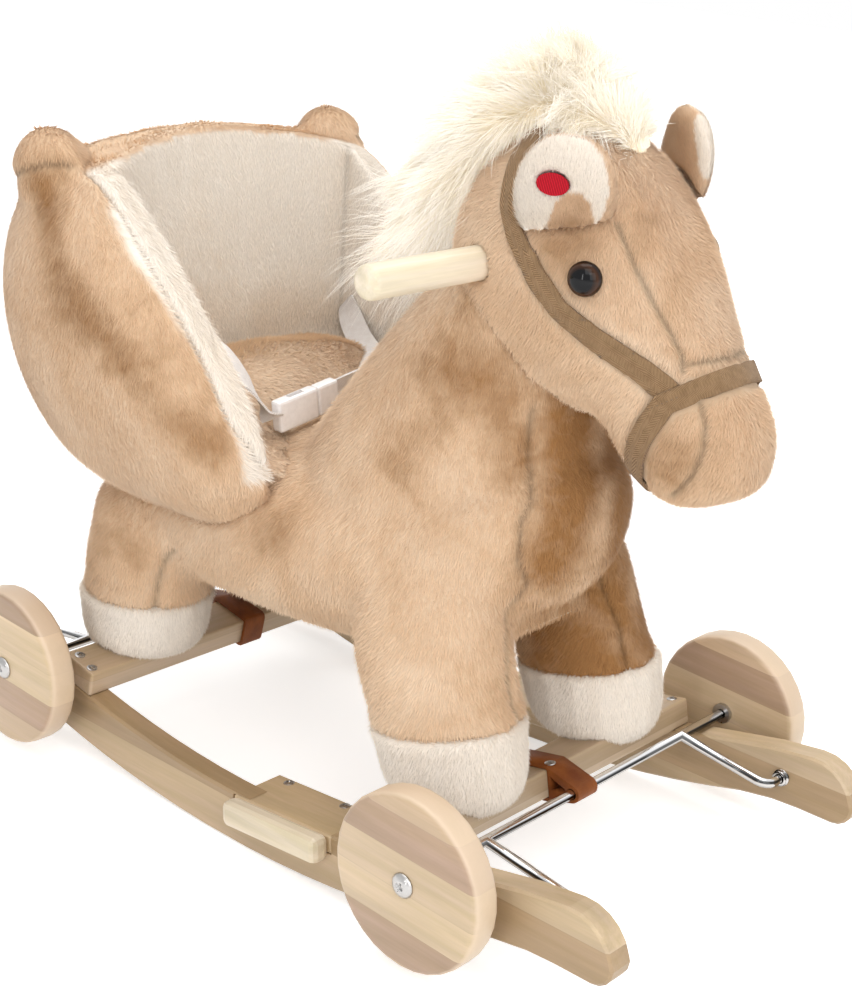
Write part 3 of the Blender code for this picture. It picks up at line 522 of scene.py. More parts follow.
def standing(tree, outline, across, rise):
    # a flat outline stood up along Z, which keeps its heights as strandTip
    return addNode(tree, "GeometryNodeSetPosition", {
        "Geometry": stored(tree, outline, "strandTip", rise, domain="POINT"),
        "Position": addNode(tree, "ShaderNodeCombineXYZ", {0: across, 2: rise})})


def planted(tree, given, points, strand, turn, shortest, longest, seed):
    # a strand of random length and shade on every point
    long = product(tree, randomNumber(tree, shortest, longest, seed), given["Length"], named(tree, "pileLength"))
    size = addNode(tree, "ShaderNodeCombineXYZ", {0: given["Width"], 1: given["Width"], 2: long})
    made = addNode(tree, "GeometryNodeInstanceOnPoints", {
        "Points": points, "Instance": strand, "Rotation": turn, "Scale": size})
    return stored(tree, made, "strandShade", randomNumber(tree, 0.0, 1.0, 3)), long


def endTree(tree, out, geometry, finish):
    done = addNode(tree, "GeometryNodeSetMaterial", {"Geometry": geometry, "Material": finish})
    plug(tree, out.inputs[0], done)
    return tree


def makePileTree():
    # short strands that follow the attributes comb and pileLength of the skin
    tree, given, out = newTree("shortPile", [
        ("Density", "Float", 1000.0), ("Seed", "Int", 1), ("Length", "Float", 0.005), ("Width", "Float", 0.0008),
        ("Lift", "Float", 0.6), ("Wander", "Float", 0.3), ("Finish", "Material", None)])
    dense = product(tree, maths(tree, "SUBTRACT", 1.0, named(tree, "bare")), given["Density"])
    points = addNode(tree, "GeometryNodeDistributePointsOnFaces", {
        "Mesh": given["Geometry"], "Density": dense, "Seed": given["Seed"]}, distribute_method="RANDOM")
    upward = vectors(tree, "SCALE", points.outputs["Normal"], scale=given["Lift"])
    wander = vectors(tree, "SCALE", randomVector(tree, given["Seed"]), scale=given["Wander"])
    heading = vectors(tree, "ADD", vectors(tree, "ADD", named(tree, "comb", "FLOAT_VECTOR"), upward), wander)
    turn = turned(tree, heading, points.outputs["Normal"])
    # one strand: a pointed blade along Z, whose face looks along Y
    disc = addNode(tree, "GeometryNodeMeshCircle", {"Vertices": 3, "Radius": 1.0}, fill_type="NGON")
    x, y = addNode(tree, "ShaderNodeSeparateXYZ", {0: addNode(tree, "GeometryNodeInputPosition")}).outputs[:2]
    blade = standing(tree, disc, maths(tree, "DIVIDE", y, math.sqrt(3)),
                     maths(tree, "MULTIPLY_ADD", x, 2 / 3, 1 / 3))
    strands = planted(tree, given, points, blade, turn, 0.6, 1.15, 7)[0]
    real = addNode(tree, "GeometryNodeRealizeInstances", {"Geometry": strands})
    return endTree(tree, out, real, given["Finish"])


pileTree = makePileTree()


def combed(points, normals, heading, swirl=0.35, scale=18.0, seed=1):
    # unit direction in which the pile lies, along the surface
    field = np.array(heading(points) if callable(heading) else np.broadcast_to(heading, points.shape), float)
    field = field + smoothNoise(points, scale, seed) * swirl
    field -= normals * np.sum(field * normals, 1)[:, None]
    return field / np.maximum(np.linalg.norm(field, axis=1), 0.2)[:, None]


def area(obj):
    values = np.empty(len(obj.data.polygons))
    obj.data.polygons.foreach_get("area", values)
    return values.sum()


napAndShadeLook = dict(spread=1.30, share=0.72, ragged=0.16, fine=0.10)


def napAndShadeBands(points, lines):
    # share of the darker tone, partly the pile's own and partly painted shade: bands round short lines, with ragged
    # edges
    ragged = 1 + napAndShadeLook["ragged"] * smoothNoise(points, 38.0, 5)[:, 0]
    ragged += napAndShadeLook["fine"] * smoothNoise(points, 110.0, 6)[:, 1]
    total = np.zeros(len(points))
    for radius, strength, line in lines:
        away = lineDistance(points, line) * ragged
        total = np.maximum(total, napAndShadeLook["share"] * strength * np.exp(-(away / radius / napAndShadeLook["spread"]) ** 2))
    return total


def swell(obj, most):
    # cloth simulation: the piece blows up a little and its sides wrinkle
    start = getPoints(obj)
    cloth = obj.modifiers.new("swell", "CLOTH")
    cloth.settings.use_pressure = True
    cloth.settings.uniform_pressure_force = 4
    cloth.settings.effector_weights.gravity = 0
    cloth.point_cache.frame_start, cloth.point_cache.frame_end = 1, 20
    for step in range(1, 21):
        scene.frame_set(step)
    bake(obj)
    scene.frame_set(1)
    moved = getPoints(obj) - start
    far = np.linalg.norm(moved, axis=1)[:, None]
    setPoints(obj, start + moved * np.minimum(1, most / np.maximum(far, 1e-9)))


def addBalls(obj, balls):
    # round fillings that the remesh melts into the piece: centre and half sizes
    bm = bmesh.new()
    bm.from_mesh(obj.data)
    for centre, radii in balls:
        bmesh.ops.create_uvsphere(bm, u_segments=24, v_segments=16, radius=1,
                                  matrix=Matrix.Translation(centre) @ Matrix.Diagonal((*radii, 1)))
    bm.to_mesh(obj.data)
    bm.free()


def standClear(points, node, gap):
    # where a wooden part inside would show through, the skin stands clear of it
    low, high = (np.array(corner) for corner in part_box(node))
    low, high = low - gap, high + gap
    inside = np.all((points > low) & (points < high), axis=1)
    gaps = np.stack([points - low, high - points], 1).reshape(len(points), 6)
    for k in np.flatnonzero(inside):
        side = int(np.argmin(gaps[k]))
        points[k, side % 3] = (low if side < 3 else high)[side % 3]


# what a stuffed piece has if its own settings don't say otherwise
plushBase = dict(hold=0.15, meet=0.0006, swell=None, rumple=None, boardGap=0.0022, seamDepth=0.0028, seamShare=0.75)
# seams: widths of the fold and of its dark line, and shares of bare ground and shorter pile there
seamForm = dict(fold=0.0042, line=0.0019, bare=0.75, shorter=0.5)
# tapes that press the plush in: the step beside them, the height that they end at, and the depth
tapePress = dict(near=0.0025, far=0.0050, top=0.405, depth=0.0012)
rumpleNoise = dict(scale=30.0, seed=41)


def plushPiece(name, nodes, finish, settings, seams=(), fillers=(), neighbours=(), napAndShade=(),
               hidden=None, keep=None, balls=(), soothe=(), bulges=(), under=()):
    # skin from the CAD solids, melted together, and its pile as a second piece
    settings = {**plushBase, **settings}
    skin = cadCopy(name, *nodes, *fillers)
    addBalls(skin, balls)
    remesh(skin, settings["voxel"])
    if settings["swell"]:
        swell(skin, settings["swell"])
    free = openness(getPoints(skin), neighbours)
    relax(skin, settings["melt"], weight=settings["hold"] + (1 - settings["hold"]) * free)
    for radius, rounds, line in soothe:
        points = getPoints(skin)
        setPoints(skin, averaged(skin, points, rounds, fading(points, line, radius)))
    points, normals = getPoints(skin), getPoints(skin, "normal")
    for radius, amount, line in bulges:
        points += normals * (amount * fading(points, line, radius))[:, None]
    if settings["rumple"]:
        points += normals * (settings["rumple"] * free * smoothNoise(points, **rumpleNoise)[:, 0])[:, None]
    points -= normals * (settings["inset"] * free - settings["meet"] * (1 - free))[:, None]
    pressed = 0
    if under:
        pressed = (1 - openness(points, under, tapePress["near"], tapePress["far"])) * (points[:, 2] < tapePress["top"])
        points -= normals * (tapePress["depth"] * pressed)[:, None]
    if hidden:
        standClear(points, hidden, settings["boardGap"])
    seamShade = np.zeros(len(points))
    setPoints(skin, points)
    tree = objectTree(skin) if seams else None
    for line in seams:
        away = lineDistance(points, snapped(line, tree))
        points -= normals * (settings["seamDepth"] * np.exp(-(away / seamForm["fold"]) ** 2))[:, None]
        seamShade = np.maximum(seamShade, settings["seamShare"] * np.exp(-(away / seamForm["line"]) ** 2))
    setPoints(skin, points)
    normals = getPoints(skin, "normal")
    storeFloat(skin, "seamShade", seamShade)
    storeFloat(skin, "bare", np.maximum(seamForm["bare"] * seamShade, pressed))
    storeFloat(skin, "napToneAndShade", napAndShadeBands(points, napAndShade))
    storeFloat(skin, "pileLength", 1 - seamForm["shorter"] * seamShade)
    storeVector(skin, "comb", combed(points, normals, settings["comb"], settings["swirl"], seed=settings["seed"]))
    if keep:
        keep(skin, points, normals)
    shadeSmooth(skin)
    setFinish(skin, finish)
    pile = link(bpy.data.objects.new(name + "Pile", skin.data.copy()))
    given = {key.capitalize(): settings[key] for key in ("seed", "length", "width", "lift", "wander")}
    runTree(pile, pileTree, {"Density": settings["strands"] / area(skin), "Finish": finish, **given})
    for piece in (skin, pile):
        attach(piece, "horse")
    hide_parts(*nodes)
    print(name, "skin", len(skin.data.polygons), "pile", len(pile.data.polygons))
    return skin


# Plush
plushSizes = {
    "body": dict(voxel=0.0034, melt=14, hold=1.0, meet=0.0012, inset=0.0014, comb=(-0.15, 0, -1), swirl=0.45, seed=11,
                 strands=190000, length=0.0052, width=0.00062, lift=0.42, wander=0.30, fill=0.9),
    "head": dict(voxel=0.0026, melt=12, inset=0.0012, comb=(-0.3, 0, -0.9), swirl=0.5, seed=12, seamDepth=0.0020,
                 strands=150000, length=0.0048, width=0.00055, lift=0.45, wander=0.32, fill=0.95),
    "shell": dict(voxel=0.0034, melt=14, hold=0.7, meet=0.0010, inset=0.0014, comb=(0.3, 0, -1), swirl=0.5, seed=13,
                  strands=190000, length=0.0052, width=0.00062, lift=0.42, wander=0.30, fill=0.9),
    "lining": dict(voxel=0.0032, melt=5, inset=0.0008, comb=(0, 0, -1), swirl=0.45, seed=14, seamDepth=0.0014,
                   seamShare=0.35, strands=130000, length=0.0038, width=0.00060, lift=0.42, wander=0.30, fill=0.7),
    "cushion": dict(voxel=0.0045, melt=3, inset=0.0012, swell=0.006, rumple=0.003, comb=(1, 0, -0.2), swirl=0.5,
                    seed=15, strands=90000, length=0.0052, width=0.00065, lift=0.65, wander=0.45, fill=0.7),
    "hoof": dict(voxel=0.0028, melt=8, inset=0.0006, comb=(0, 0, -1), swirl=0.2, seed=16,
                 strands=42000, length=0.0042, width=0.00055, lift=0.40, wander=0.26, fill=0.95),
    "ear": dict(voxel=0.0016, melt=3, inset=0.0005, comb=(0, 0, 1), swirl=0.2, seed=17,
                strands=26000, length=0.0040, width=0.00050, lift=0.45, wander=0.28, fill=0.5),
}

# sewn seams on the right side; each is mirrored to the left
seamLines = {
    "forehead": [(0.2000, -0.0405, 0.4270), (0.2039, -0.0403, 0.4197), (0.2153, -0.0398, 0.4027),
                 (0.2255, -0.0363, 0.3866), (0.2346, -0.0316, 0.3717), (0.2420, -0.0289, 0.3599),
                 (0.2439, -0.0306, 0.3520)],
    "overNose": [(0.2439, -0.0306, 0.3560), (0.2513, -0.0168, 0.3576), (0.2540, 0.0, 0.3580)],
    "muzzle": [(0.2577, -0.0306, 0.3372), (0.2628, -0.0315, 0.3260), (0.2638, -0.0334, 0.3130),
               (0.2595, -0.0342, 0.2965), (0.2420, -0.0285, 0.2762)],
    "chest": [(0.1546, -0.0440, 0.3096), (0.1538, -0.0450, 0.2916), (0.1552, -0.0440, 0.2698),
              (0.1612, -0.0484, 0.2575), (0.1599, -0.0549, 0.2437), (0.1604, -0.0537, 0.2172),
              (0.1610, -0.0445, 0.2016), (0.1520, -0.0450, 0.1755), (0.1599, -0.0558, 0.1467),
              (0.1688, -0.0545, 0.1204)],
    "rearLeg": [(-0.1031, -0.0958, 0.1538), (-0.1118, -0.0963, 0.1334), (-0.1193, -0.0953, 0.1071)],
    "underKnob": [(-0.2050, -0.1400, 0.3900), (-0.1941, -0.1443, 0.3974), (-0.1706, -0.1406, 0.4062),
                  (-0.1602, -0.1270, 0.4062)],
    "bucketCorner": [(-0.1480, -0.1030, 0.4050), (-0.1480, -0.1000, 0.3400), (-0.1480, -0.1000, 0.2700)],
}

# bands of darker tone on the right side, partly the pile's own tone and partly painted shade in creases, under parts
# and on sides turned from the light: radius, strength and line
napAndShadeLines = {
    "shell": [(0.014, 0.95, [(-0.1701, -0.1421, 0.3890), (-0.1421, -0.1555, 0.3424), (-0.0944, -0.1553, 0.3141)]),
              (0.034, 0.45, [(-0.1150, -0.1500, 0.3500), (-0.0750, -0.1450, 0.3150), (-0.0400, -0.1400, 0.2850)]),
              (0.022, 0.40, [(-0.1900, -0.1240, 0.4050), (-0.1900, -0.1240, 0.4150)]),
              (0.017, 0.80, [(-0.0944, -0.1553, 0.3141), (-0.0665, -0.1525, 0.2926), (-0.0424, -0.1470, 0.2736),
                             (-0.0238, -0.1354, 0.2661)])],
    "flank": [(0.015, 0.60, [(0.0089, -0.0895, 0.2174), (0.0044, -0.0966, 0.2038)]),
              (0.013, 0.40, [(0.0761, -0.0790, 0.2667), (0.1107, -0.0687, 0.2972)]),
              (0.012, 0.60, [(-0.0060, -0.1000, 0.2420), (0.0050, -0.0930, 0.2350)]),
              (0.030, 0.35, [(-0.1292, -0.1108, 0.1500), (-0.1197, -0.1007, 0.1212)])],
    "chest": [(0.019, 1.00, [(0.1067, -0.0647, 0.3321), (0.1375, -0.0551, 0.3116), (0.1503, -0.0453, 0.2810)]),
              (0.024, 1.30, [(0.1646, -0.0279, 0.3007), (0.1730, -0.0222, 0.2644), (0.1731, -0.0325, 0.2199)]),
              (0.010, 0.50, [(0.1125, -0.0592, 0.3597), (0.1100, -0.0600, 0.3570)])],
    "head": [(0.011, 0.60, [(0.1852, -0.0556, 0.4150), (0.1800, -0.0613, 0.4092)]),
             (0.014, 0.65, [(0.2484, -0.0381, 0.3060), (0.2450, -0.0390, 0.3000)]),
             (0.010, 0.45, [(0.2000, -0.0262, 0.4342), (0.2091, -0.0314, 0.4179)]),
             (0.009, 0.40, [(0.0912, -0.0490, 0.3967), (0.0900, -0.0500, 0.3930)])],
}
# painted shade: the lining is darker at its foot and in its corners, where the seat's shade falls
liningPaintedShade = [(0.034, 1.20, [(-0.1450, -0.0950, 0.2780), (-0.1760, -0.0600, 0.2720), (-0.1790, 0.0, 0.2700)]),
             (0.012, 0.50, [(-0.1480, -0.1030, 0.3900), (-0.1480, -0.1000, 0.2900)])]
# painted shade: the inner faces of the legs stand in each other's shade
innerLegPaintedShade = [(0.055, 1.25, [(0.1500, 0.0450, 0.1200), (0.1500, 0.0550, 0.2000)])]


def otherSide(line):
    return [(x, -y, z) for x, y, z in line]


def bothSides(*names):
    lines = [seamLines[each] for each in names]
    return lines + [otherSide(line) for line in lines]


def mirrored(bands):
    return bands + [(*values, otherSide(line)) for *values, line in bands]


def napAndShadeOf(*names):
    return mirrored([band for each in names for band in napAndShadeLines[each]])


legNames = [f"leg_{end}_{side}" for end in ("front", "rear") for side in ("right", "left")]
postNames = [each.replace("leg_", "leg_post_") for each in legNames]
hoofNames = [each.replace("leg_", "hoof_") for each in legNames]

# where the body meets the tip of the seat its thin edges are smoothed away: radius, rounds and line
wingTip = mirrored([(0.013, 30, [
    (-0.0500, -0.0350, 0.2520), (-0.0250, -0.0800, 0.2480), (-0.0090, -0.1120, 0.2380), (-0.0180, -0.1230, 0.2180),
    (-0.0450, -0.1300, 0.2080)])])
# the front legs are stuffed a little fuller towards each other: radius, amount and line
legBulges = mirrored([(0.028, 0.0030, [(0.1640, -0.0460, 0.1450), (0.1660, -0.0460, 0.1150)])])
plushPiece("bodyPlush", ["body_plush", *legNames], tanPlush, plushSizes["body"],
           seams=bothSides("chest", "rearLeg"), fillers=["core_board", *postNames], hidden="core_board",
           soothe=wingTip, bulges=legBulges, napAndShade=napAndShadeOf("flank", "chest") + innerLegPaintedShade,
           neighbours=[*hoofNames, "seat_shell", "seat_lining", "seat_cushion", "head"])
headSkin = plushPiece("headPlush", ["head"], tanPlush, plushSizes["head"],
                      seams=bothSides("forehead", "overNose", "muzzle"), napAndShade=napAndShadeOf("head"),
                      neighbours=["body_plush"], under=["noseband", "headstall"])

# the white fur of the lining turns over the front edges of the shell: outer border by height
wingEdge = dict(height=(0.2350, 0.2770, 0.3093, 0.3361, 0.3590, 0.3815, 0.4044),
                away=(0.1130, 0.1226, 0.1222, 0.1250, 0.1280, 0.1262, 0.1110), foot=0.233, behind=-0.1630, fluff=0.8)
# and the tan fur of the shell turns over the back of the lining
backRim = dict(behind=-0.1580, facing=0.45, edge=-0.15)
knobBalls = [((-0.1900, side * 0.1220, 0.3975), (0.0255, 0.0255, 0.0285)) for side in (-1, 1)]
# the tips of its two sides are stuffed where they lie on the body
tipBalls = [((-0.0170, side * 0.1003, 0.2290), (0.0110, 0.0110, 0.0110)) for side in (-1, 1)]


def softStep(values, width):
    return np.clip(values / width + 0.5, 0, 1)


def paintShell(skin, points, normals):
    border = np.interp(points[:, 2], wingEdge["height"], wingEdge["away"])
    white = softStep(border - np.abs(points[:, 1]), 0.003) * softStep(normals[:, 0] - 0.3, 0.2)
    white *= softStep(points[:, 0] - wingEdge["behind"], 0.004) * softStep(points[:, 2] - wingEdge["foot"], 0.004)
    storeFloat(skin, "whiteness", white)
    storeFloat(skin, "napToneAndShade", napAndShadeBands(points, napAndShadeOf("shell")) * (1 - white))
    storeFloat(skin, "pileLength", 1 + wingEdge["fluff"] * white)
    # the white part is combed inwards
    white = white[:, None]
    inwards = np.sign(points[:, 1])[:, None] * (0, -1, 0) + (0, 0, -0.4)
    shell = plushSizes["shell"]
    comb = combed(points, normals, shell["comb"], shell["swirl"], seed=shell["seed"])
    storeVector(skin, "comb", comb * (1 - white) + inwards * white)


def paintLining(skin, points, normals):
    tan = softStep(backRim["behind"] - points[:, 0], 0.006) * softStep(normals[:, 2] - backRim["facing"], 0.2)
    storeFloat(skin, "whiteness", 1 - tan)
    edge = softStep(normals[:, 0] - 0.5, 0.3) * softStep(points[:, 0] - backRim["edge"], 0.01)
    storeFloat(skin, "pileLength", 1 + wingEdge["fluff"] * edge)


plushPiece("seatShell", ["seat_shell"], twoTonePlush, plushSizes["shell"],
           seams=bothSides("underKnob"), neighbours=["body_plush", "seat_lining", *legNames], keep=paintShell,
           balls=knobBalls + tipBalls, soothe=wingTip)
plushPiece("seatLining", ["seat_lining"], twoTonePlush, plushSizes["lining"],
           seams=bothSides("bucketCorner"), neighbours=["seat_shell", "seat_cushion", "body_plush"], keep=paintLining,
           napAndShade=mirrored(liningPaintedShade))
plushPiece("seatCushion", ["seat_cushion"], cushionPlushPaintedLight, plushSizes["cushion"],
           neighbours=["seat_lining", "body_plush"])
for hoofName in hoofNames:
    plushPiece(hoofName + "_plush", [hoofName], whitePlush, plushSizes["hoof"],
               neighbours=[hoofName.replace("hoof_", "leg_")])


# the left ear: its root, how far that is off the mirror image of the right one, and two directions of its plane
earPlace = dict(root=(0.1715, 0.0575, 0.415), shift=(0, -0.002, 0.009), across=(0.87, -0.46, -0.10),
                outwards=(0.46, 0.87, 0.12))


def earFrame(side):
    root, across, outwards = (Vector((x, side * y, z)) for x, y, z in (
        earPlace[key] for key in ("root", "across", "outwards")))
    base = root + (Vector(earPlace["shift"]) if side > 0 else Vector())
    across = across.normalized()
    up = outwards.cross(across).normalized()
    up = up if up.z > 0 else -up
    out = (across.cross(up) * -side).normalized()
    return np.array(base), np.array(across), np.array(up), np.array(out)


# the white lining of an ear in its own plane: an oval less a notch, each with its middle and half sizes
earLining = dict(oval=(-0.0035, 0.0235, 0.0270, 0.0305), notch=(0.0070, 0.0050, 0.0122, 0.0185))
# no pile under the button, which is pressed into the ear: an oval about its middle
buttonPatch = (0.0, 0.0, 0.0098, 0.0074)
# on the far ear the lining also wraps the front edge: its start at the tip, and how far it slants
earWrap = dict(start=0.0060, slant=0.52, tip=0.0600)


def lineEar(side):
    base, across, up, out = earFrame(side)

    def inside(s, h, shape):
        middle, height, half, tall = shape
        return ((s - middle) / half) ** 2 + ((h - height) / tall) ** 2 < 1

    def paint(skin, points, normals):
        local = points - base
        s, h, facing = local @ across, local @ up, normals @ out
        white = (facing > 0.05) & inside(s, h, earLining["oval"]) & ~inside(s, h, earLining["notch"])
        if side > 0:
            white |= s > earWrap["start"] + earWrap["slant"] * (earWrap["tip"] - h)
        storeFloat(skin, "whiteness", white.astype(float))
        if side < 0:
            low, high = (np.array(corner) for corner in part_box("sound_button"))
            local = points - (low + high) / 2
            under = (facing > 0.05) & inside(local @ across, local @ up, buttonPatch)
            storeFloat(skin, "bare", under.astype(float))

    return paint


# the deeper tone inside the ear, upwards from the notch
earDarkening = dict(radius=0.013, strength=0.70, rise=0.016)
for sideName, side in (("right", -1), ("left", 1)):
    base, across, up, out = earFrame(side)
    middle = base + across * earLining["notch"][0]
    plushPiece(f"ear_{sideName}_plush", [f"ear_{sideName}"], twoTonePlush, plushSizes["ear"],
               napAndShade=[(earDarkening["radius"], earDarkening["strength"], [middle, middle + up * earDarkening["rise"]])], keep=lineEar(side))


# Mane and tail
def makeLockTree():
    # long ribbons in locks: they lean along comb, wave with a noise and gather towards cell centres
    tree, given, out = newTree("hairLocks", [
        ("Density", "Float", 1000.0), ("Seed", "Int", 1), ("Length", "Float", 0.03), ("Width", "Float", 0.001),
        ("Lift", "Float", 0.8), ("Droop", "Float", 0.2), ("Wave", "Float", 0.3), ("Gather", "Float", 0.5),
        ("Cells", "Float", 90.0), ("Stray", "Float", 0.1), ("Turn", "Float", 0.5), ("Finish", "Material", None)])
    points = addNode(tree, "GeometryNodeDistributePointsOnFaces", {
        "Mesh": given["Geometry"], "Density": given["Density"], "Seed": given["Seed"]}, distribute_method="RANDOM")
    upward = vectors(tree, "SCALE", points.outputs["Normal"], scale=given["Lift"])
    heading = vectors(tree, "ADD", named(tree, "comb", "FLOAT_VECTOR"), upward)
    loose = vectors(tree, "SCALE", randomVector(tree, 9), scale=given["Turn"])
    turn = turned(tree, heading, vectors(tree, "ADD", named(tree, "facing", "FLOAT_VECTOR"), loose))
    # one ribbon: it stands along Z, faces Y and narrows to its tip
    grid = addNode(tree, "GeometryNodeMeshGrid", {"Size X": 1.0, "Size Y": 1.0, "Vertices X": 2, "Vertices Y": 5})
    where = addNode(tree, "GeometryNodeInputPosition")
    x, y = addNode(tree, "ShaderNodeSeparateXYZ", {0: where}).outputs[:2]
    rise = maths(tree, "ADD", y, 0.5)
    narrow = maths(tree, "MAXIMUM", maths(tree, "POWER", maths(tree, "SUBTRACT", 1.0, rise), 0.7), 0.06)
    ribbon = standing(tree, grid, product(tree, x, narrow), rise)
    strands, long = planted(tree, given, points, ribbon, turn, 0.55, 1.1, 5)
    rooted = stored(tree, strands, "root", where, "FLOAT_VECTOR")
    real = addNode(tree, "GeometryNodeRealizeInstances", {"Geometry": stored(tree, rooted, "strandLength", long)})
    rise, length = named(tree, "strandTip"), named(tree, "strandLength")
    root = named(tree, "root", "FLOAT_VECTOR")
    cells = addNode(tree, "ShaderNodeTexVoronoi", {"Vector": root, "Scale": given["Cells"], "Randomness": 1.0})
    centre = cells.outputs["Position"]

    def rippled(place, scale, detail):
        made = addNode(tree, "ShaderNodeTexNoise", {"Vector": place, "Scale": scale, "Detail": detail})
        return vectors(tree, "SUBTRACT", made.outputs["Color"], (0.5, 0.5, 0.5))

    along = vectors(tree, "ADD", centre, vectors(tree, "SCALE", (0.0, 0.02, 0.03), scale=rise))
    gather = vectors(tree, "SCALE", vectors(tree, "SUBTRACT", centre, root), scale=product(tree, rise, given["Gather"]))
    waved = vectors(tree, "SCALE", rippled(along, 55.0, 1.0), scale=product(tree, length, given["Wave"], rise))
    sag = vectors(tree, "SCALE", (0.0, 0.0, -1.0),
                  scale=product(tree, length, given["Droop"], product(tree, rise, rise)))
    stray = vectors(tree, "SCALE", rippled(root, 1300.0, 0.0), scale=product(tree, length, given["Stray"], rise))
    offset = vectors(tree, "ADD", vectors(tree, "ADD", gather, waved), vectors(tree, "ADD", sag, stray))
    bent = addNode(tree, "GeometryNodeSetPosition", {"Geometry": real, "Offset": offset})
    return endTree(tree, out, bent, given["Finish"])


lockTree = makeLockTree()


# strands that rise above start are pressed together below top
hairTop = dict(start=0.512, top=0.5295)


def underCeiling(obj, start, top):
    points = getPoints(obj)
    above = np.maximum(points[:, 2] - start, 0)
    points[:, 2] -= above - (top - start) * np.tanh(above / (top - start))
    setPoints(obj, points)


def hairPiece(name, node, skin, sets, heading, lengths, lean=(0, 0, 0)):
    # a shrunken skin from the CAD solid, and sets of locks rooted on it
    roots = cadCopy(name + "Roots", node)
    remesh(roots, skin["voxel"])
    relax(roots, skin["melt"])
    points, normals = getPoints(roots), getPoints(roots, "normal")
    points -= normals * skin["inset"]
    if "front" in skin:
        # the forelock ends further back than the solid does
        points[:, 0] -= skin["back"] * np.maximum(points[:, 0] - skin["front"], 0)
    setPoints(roots, points)
    storeFloat(roots, "pileLength", lengths(points))
    storeFloat(roots, "strandShade", 0.3)
    storeVector(roots, "comb", combed(points, normals, heading, skin["swirl"], skin["swirlScale"], skin["seed"]))
    # the ribbons face outwards and to the side, so that they catch the light
    storeVector(roots, "facing", normals + np.array(lean) * np.stack(
        [np.ones(len(points)), np.sign(points[:, 1]), np.ones(len(points))], 1))
    shadeSmooth(roots)
    setFinish(roots, creamHair)
    pieces = [roots]
    for setName, values in sets.items():
        locks = link(bpy.data.objects.new(name + setName, roots.data.copy()))
        given = {key: value for key, value in values.items() if key != "strands"}
        runTree(locks, lockTree, {"Density": values["strands"] / area(roots), "Finish": creamHair, **given})
        underCeiling(locks, **hairTop)
        pieces.append(locks)
        print(name, setName, len(locks.data.polygons))
    for piece in pieces:
        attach(piece, "horse")
    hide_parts(node)


# along the crest from the forelock to the nape: place on X, heading on X and Z, and share of the length
crestWay = dict(place=(0.200, 0.178, 0.155, 0.130, 0.100, 0.070, 0.045),
                ahead=(-0.80, -0.20, 0.20, 0.10, -0.45, -0.85, -1.00),
                upward=(0.40, 0.50, 0.90, 1.20, 0.90, 0.45, 0.05),
                share=(0.10, 0.25, 0.80, 1.12, 1.05, 1.20, 1.45),
                sideShare=(0.40, 0.95, 1.00, 0.90, 0.85, 0.95, 1.15), half=0.03, fan=0.75, fall=1.2)
# locks of uneven length, and shorter ones on the far side in front of the ear
maneUneven = dict(amount=0.45, scale=42.0, seed=31)
maneFar = dict(share=0.20, side=0.02, start=0.12, run=0.03)


def onCrest(points, key):
    way = np.array(crestWay["place"])[::-1]
    return np.interp(points[:, 0], way, np.array(crestWay[key])[::-1])


def besideCrest(points):
    # 0 on the crest, 1 on its sides
    return np.clip(np.abs(points[:, 1]) / crestWay["half"], 0, 1)


def maneHeading(points):
    # back and outwards from the crest, and falling on its sides
    return np.stack([onCrest(points, "ahead"), points[:, 1] / crestWay["half"] * crestWay["fan"],
                     onCrest(points, "upward") - crestWay["fall"] * besideCrest(points)], 1)


def maneLengths(points):
    side = besideCrest(points)
    uneven = 1 + maneUneven["amount"] * smoothNoise(points, maneUneven["scale"], maneUneven["seed"])[:, 0]
    far = np.clip(points[:, 1] / maneFar["side"], 0, 1)
    far *= np.clip((points[:, 0] - maneFar["start"]) / maneFar["run"], 0, 1)
    share = onCrest(points, "share") * (1 - side) + onCrest(points, "sideShare") * side
    return share * uneven * (1 - (1 - maneFar["share"]) * far)


maneSkin = dict(voxel=0.003, melt=6, inset=0.0075, front=0.170, back=0.6, swirl=0.75, swirlScale=34.0, seed=21)
maneSets = {
    "Under": dict(strands=23000, Seed=21, Length=0.024, Width=0.0011, Lift=0.9, Droop=0.10, Wave=0.5,
                  Gather=0.30, Cells=130.0, Stray=0.6, Turn=0.5),
    "Locks": dict(strands=23000, Seed=22, Length=0.033, Width=0.0008, Lift=0.6, Droop=0.15, Wave=0.6,
                  Gather=0.70, Cells=70.0, Stray=0.35, Turn=0.6),
    "Wisps": dict(strands=8000, Seed=23, Length=0.052, Width=0.0005, Lift=0.4, Droop=0.05, Wave=0.7,
                  Gather=0.85, Cells=42.0, Stray=0.30, Turn=0.6),
}
tailSkin = dict(voxel=0.003, melt=6, inset=0.003, swirl=0.3, swirlScale=30.0, seed=24)
tailSets = {"Locks": dict(strands=11000, Seed=24, Length=0.045, Width=0.0009, Lift=0.3, Droop=0.5, Wave=0.4,
                          Gather=0.6, Cells=80.0, Stray=0.3, Turn=0.5)}
hairPiece("mane", "mane", maneSkin, maneSets, maneHeading, maneLengths, lean=(0, 0.8, 0.3))
hairPiece("tail", "tail", tailSkin, tailSets, (0, 0, -1), lambda points: np.ones(len(points)))


# Bridle
headstallPath = [
    (0.246, 0.337), (0.225, 0.352), (0.201, 0.365), (0.181, 0.377), (0.165, 0.393), (0.151, 0.413),
    (0.140, 0.438), (0.134, 0.465), (0.130, 0.515)]
nosebandPath = [(0.282, 0.364), (0.262, 0.349), (0.241, 0.334), (0.227, 0.308), (0.214, 0.278), (0.203, 0.245)]
# the tapes are cut up until no edge is longer than this
tapeStep = 0.0045
# heights of the tapes above the skin, and how far the headstall lies back beside the ear
tapeHeights = {"headstall": dict(inner=(0.0006, 0.0012), outer=(0.0024, 0.0030)),
               "noseband": dict(inner=(0.0010, 0.0014), outer=(0.0030, 0.0036))}
tapeShift = dict(height=(0.392, 0.425, 0.600), back=(0.0, 0.0065, 0.0065))


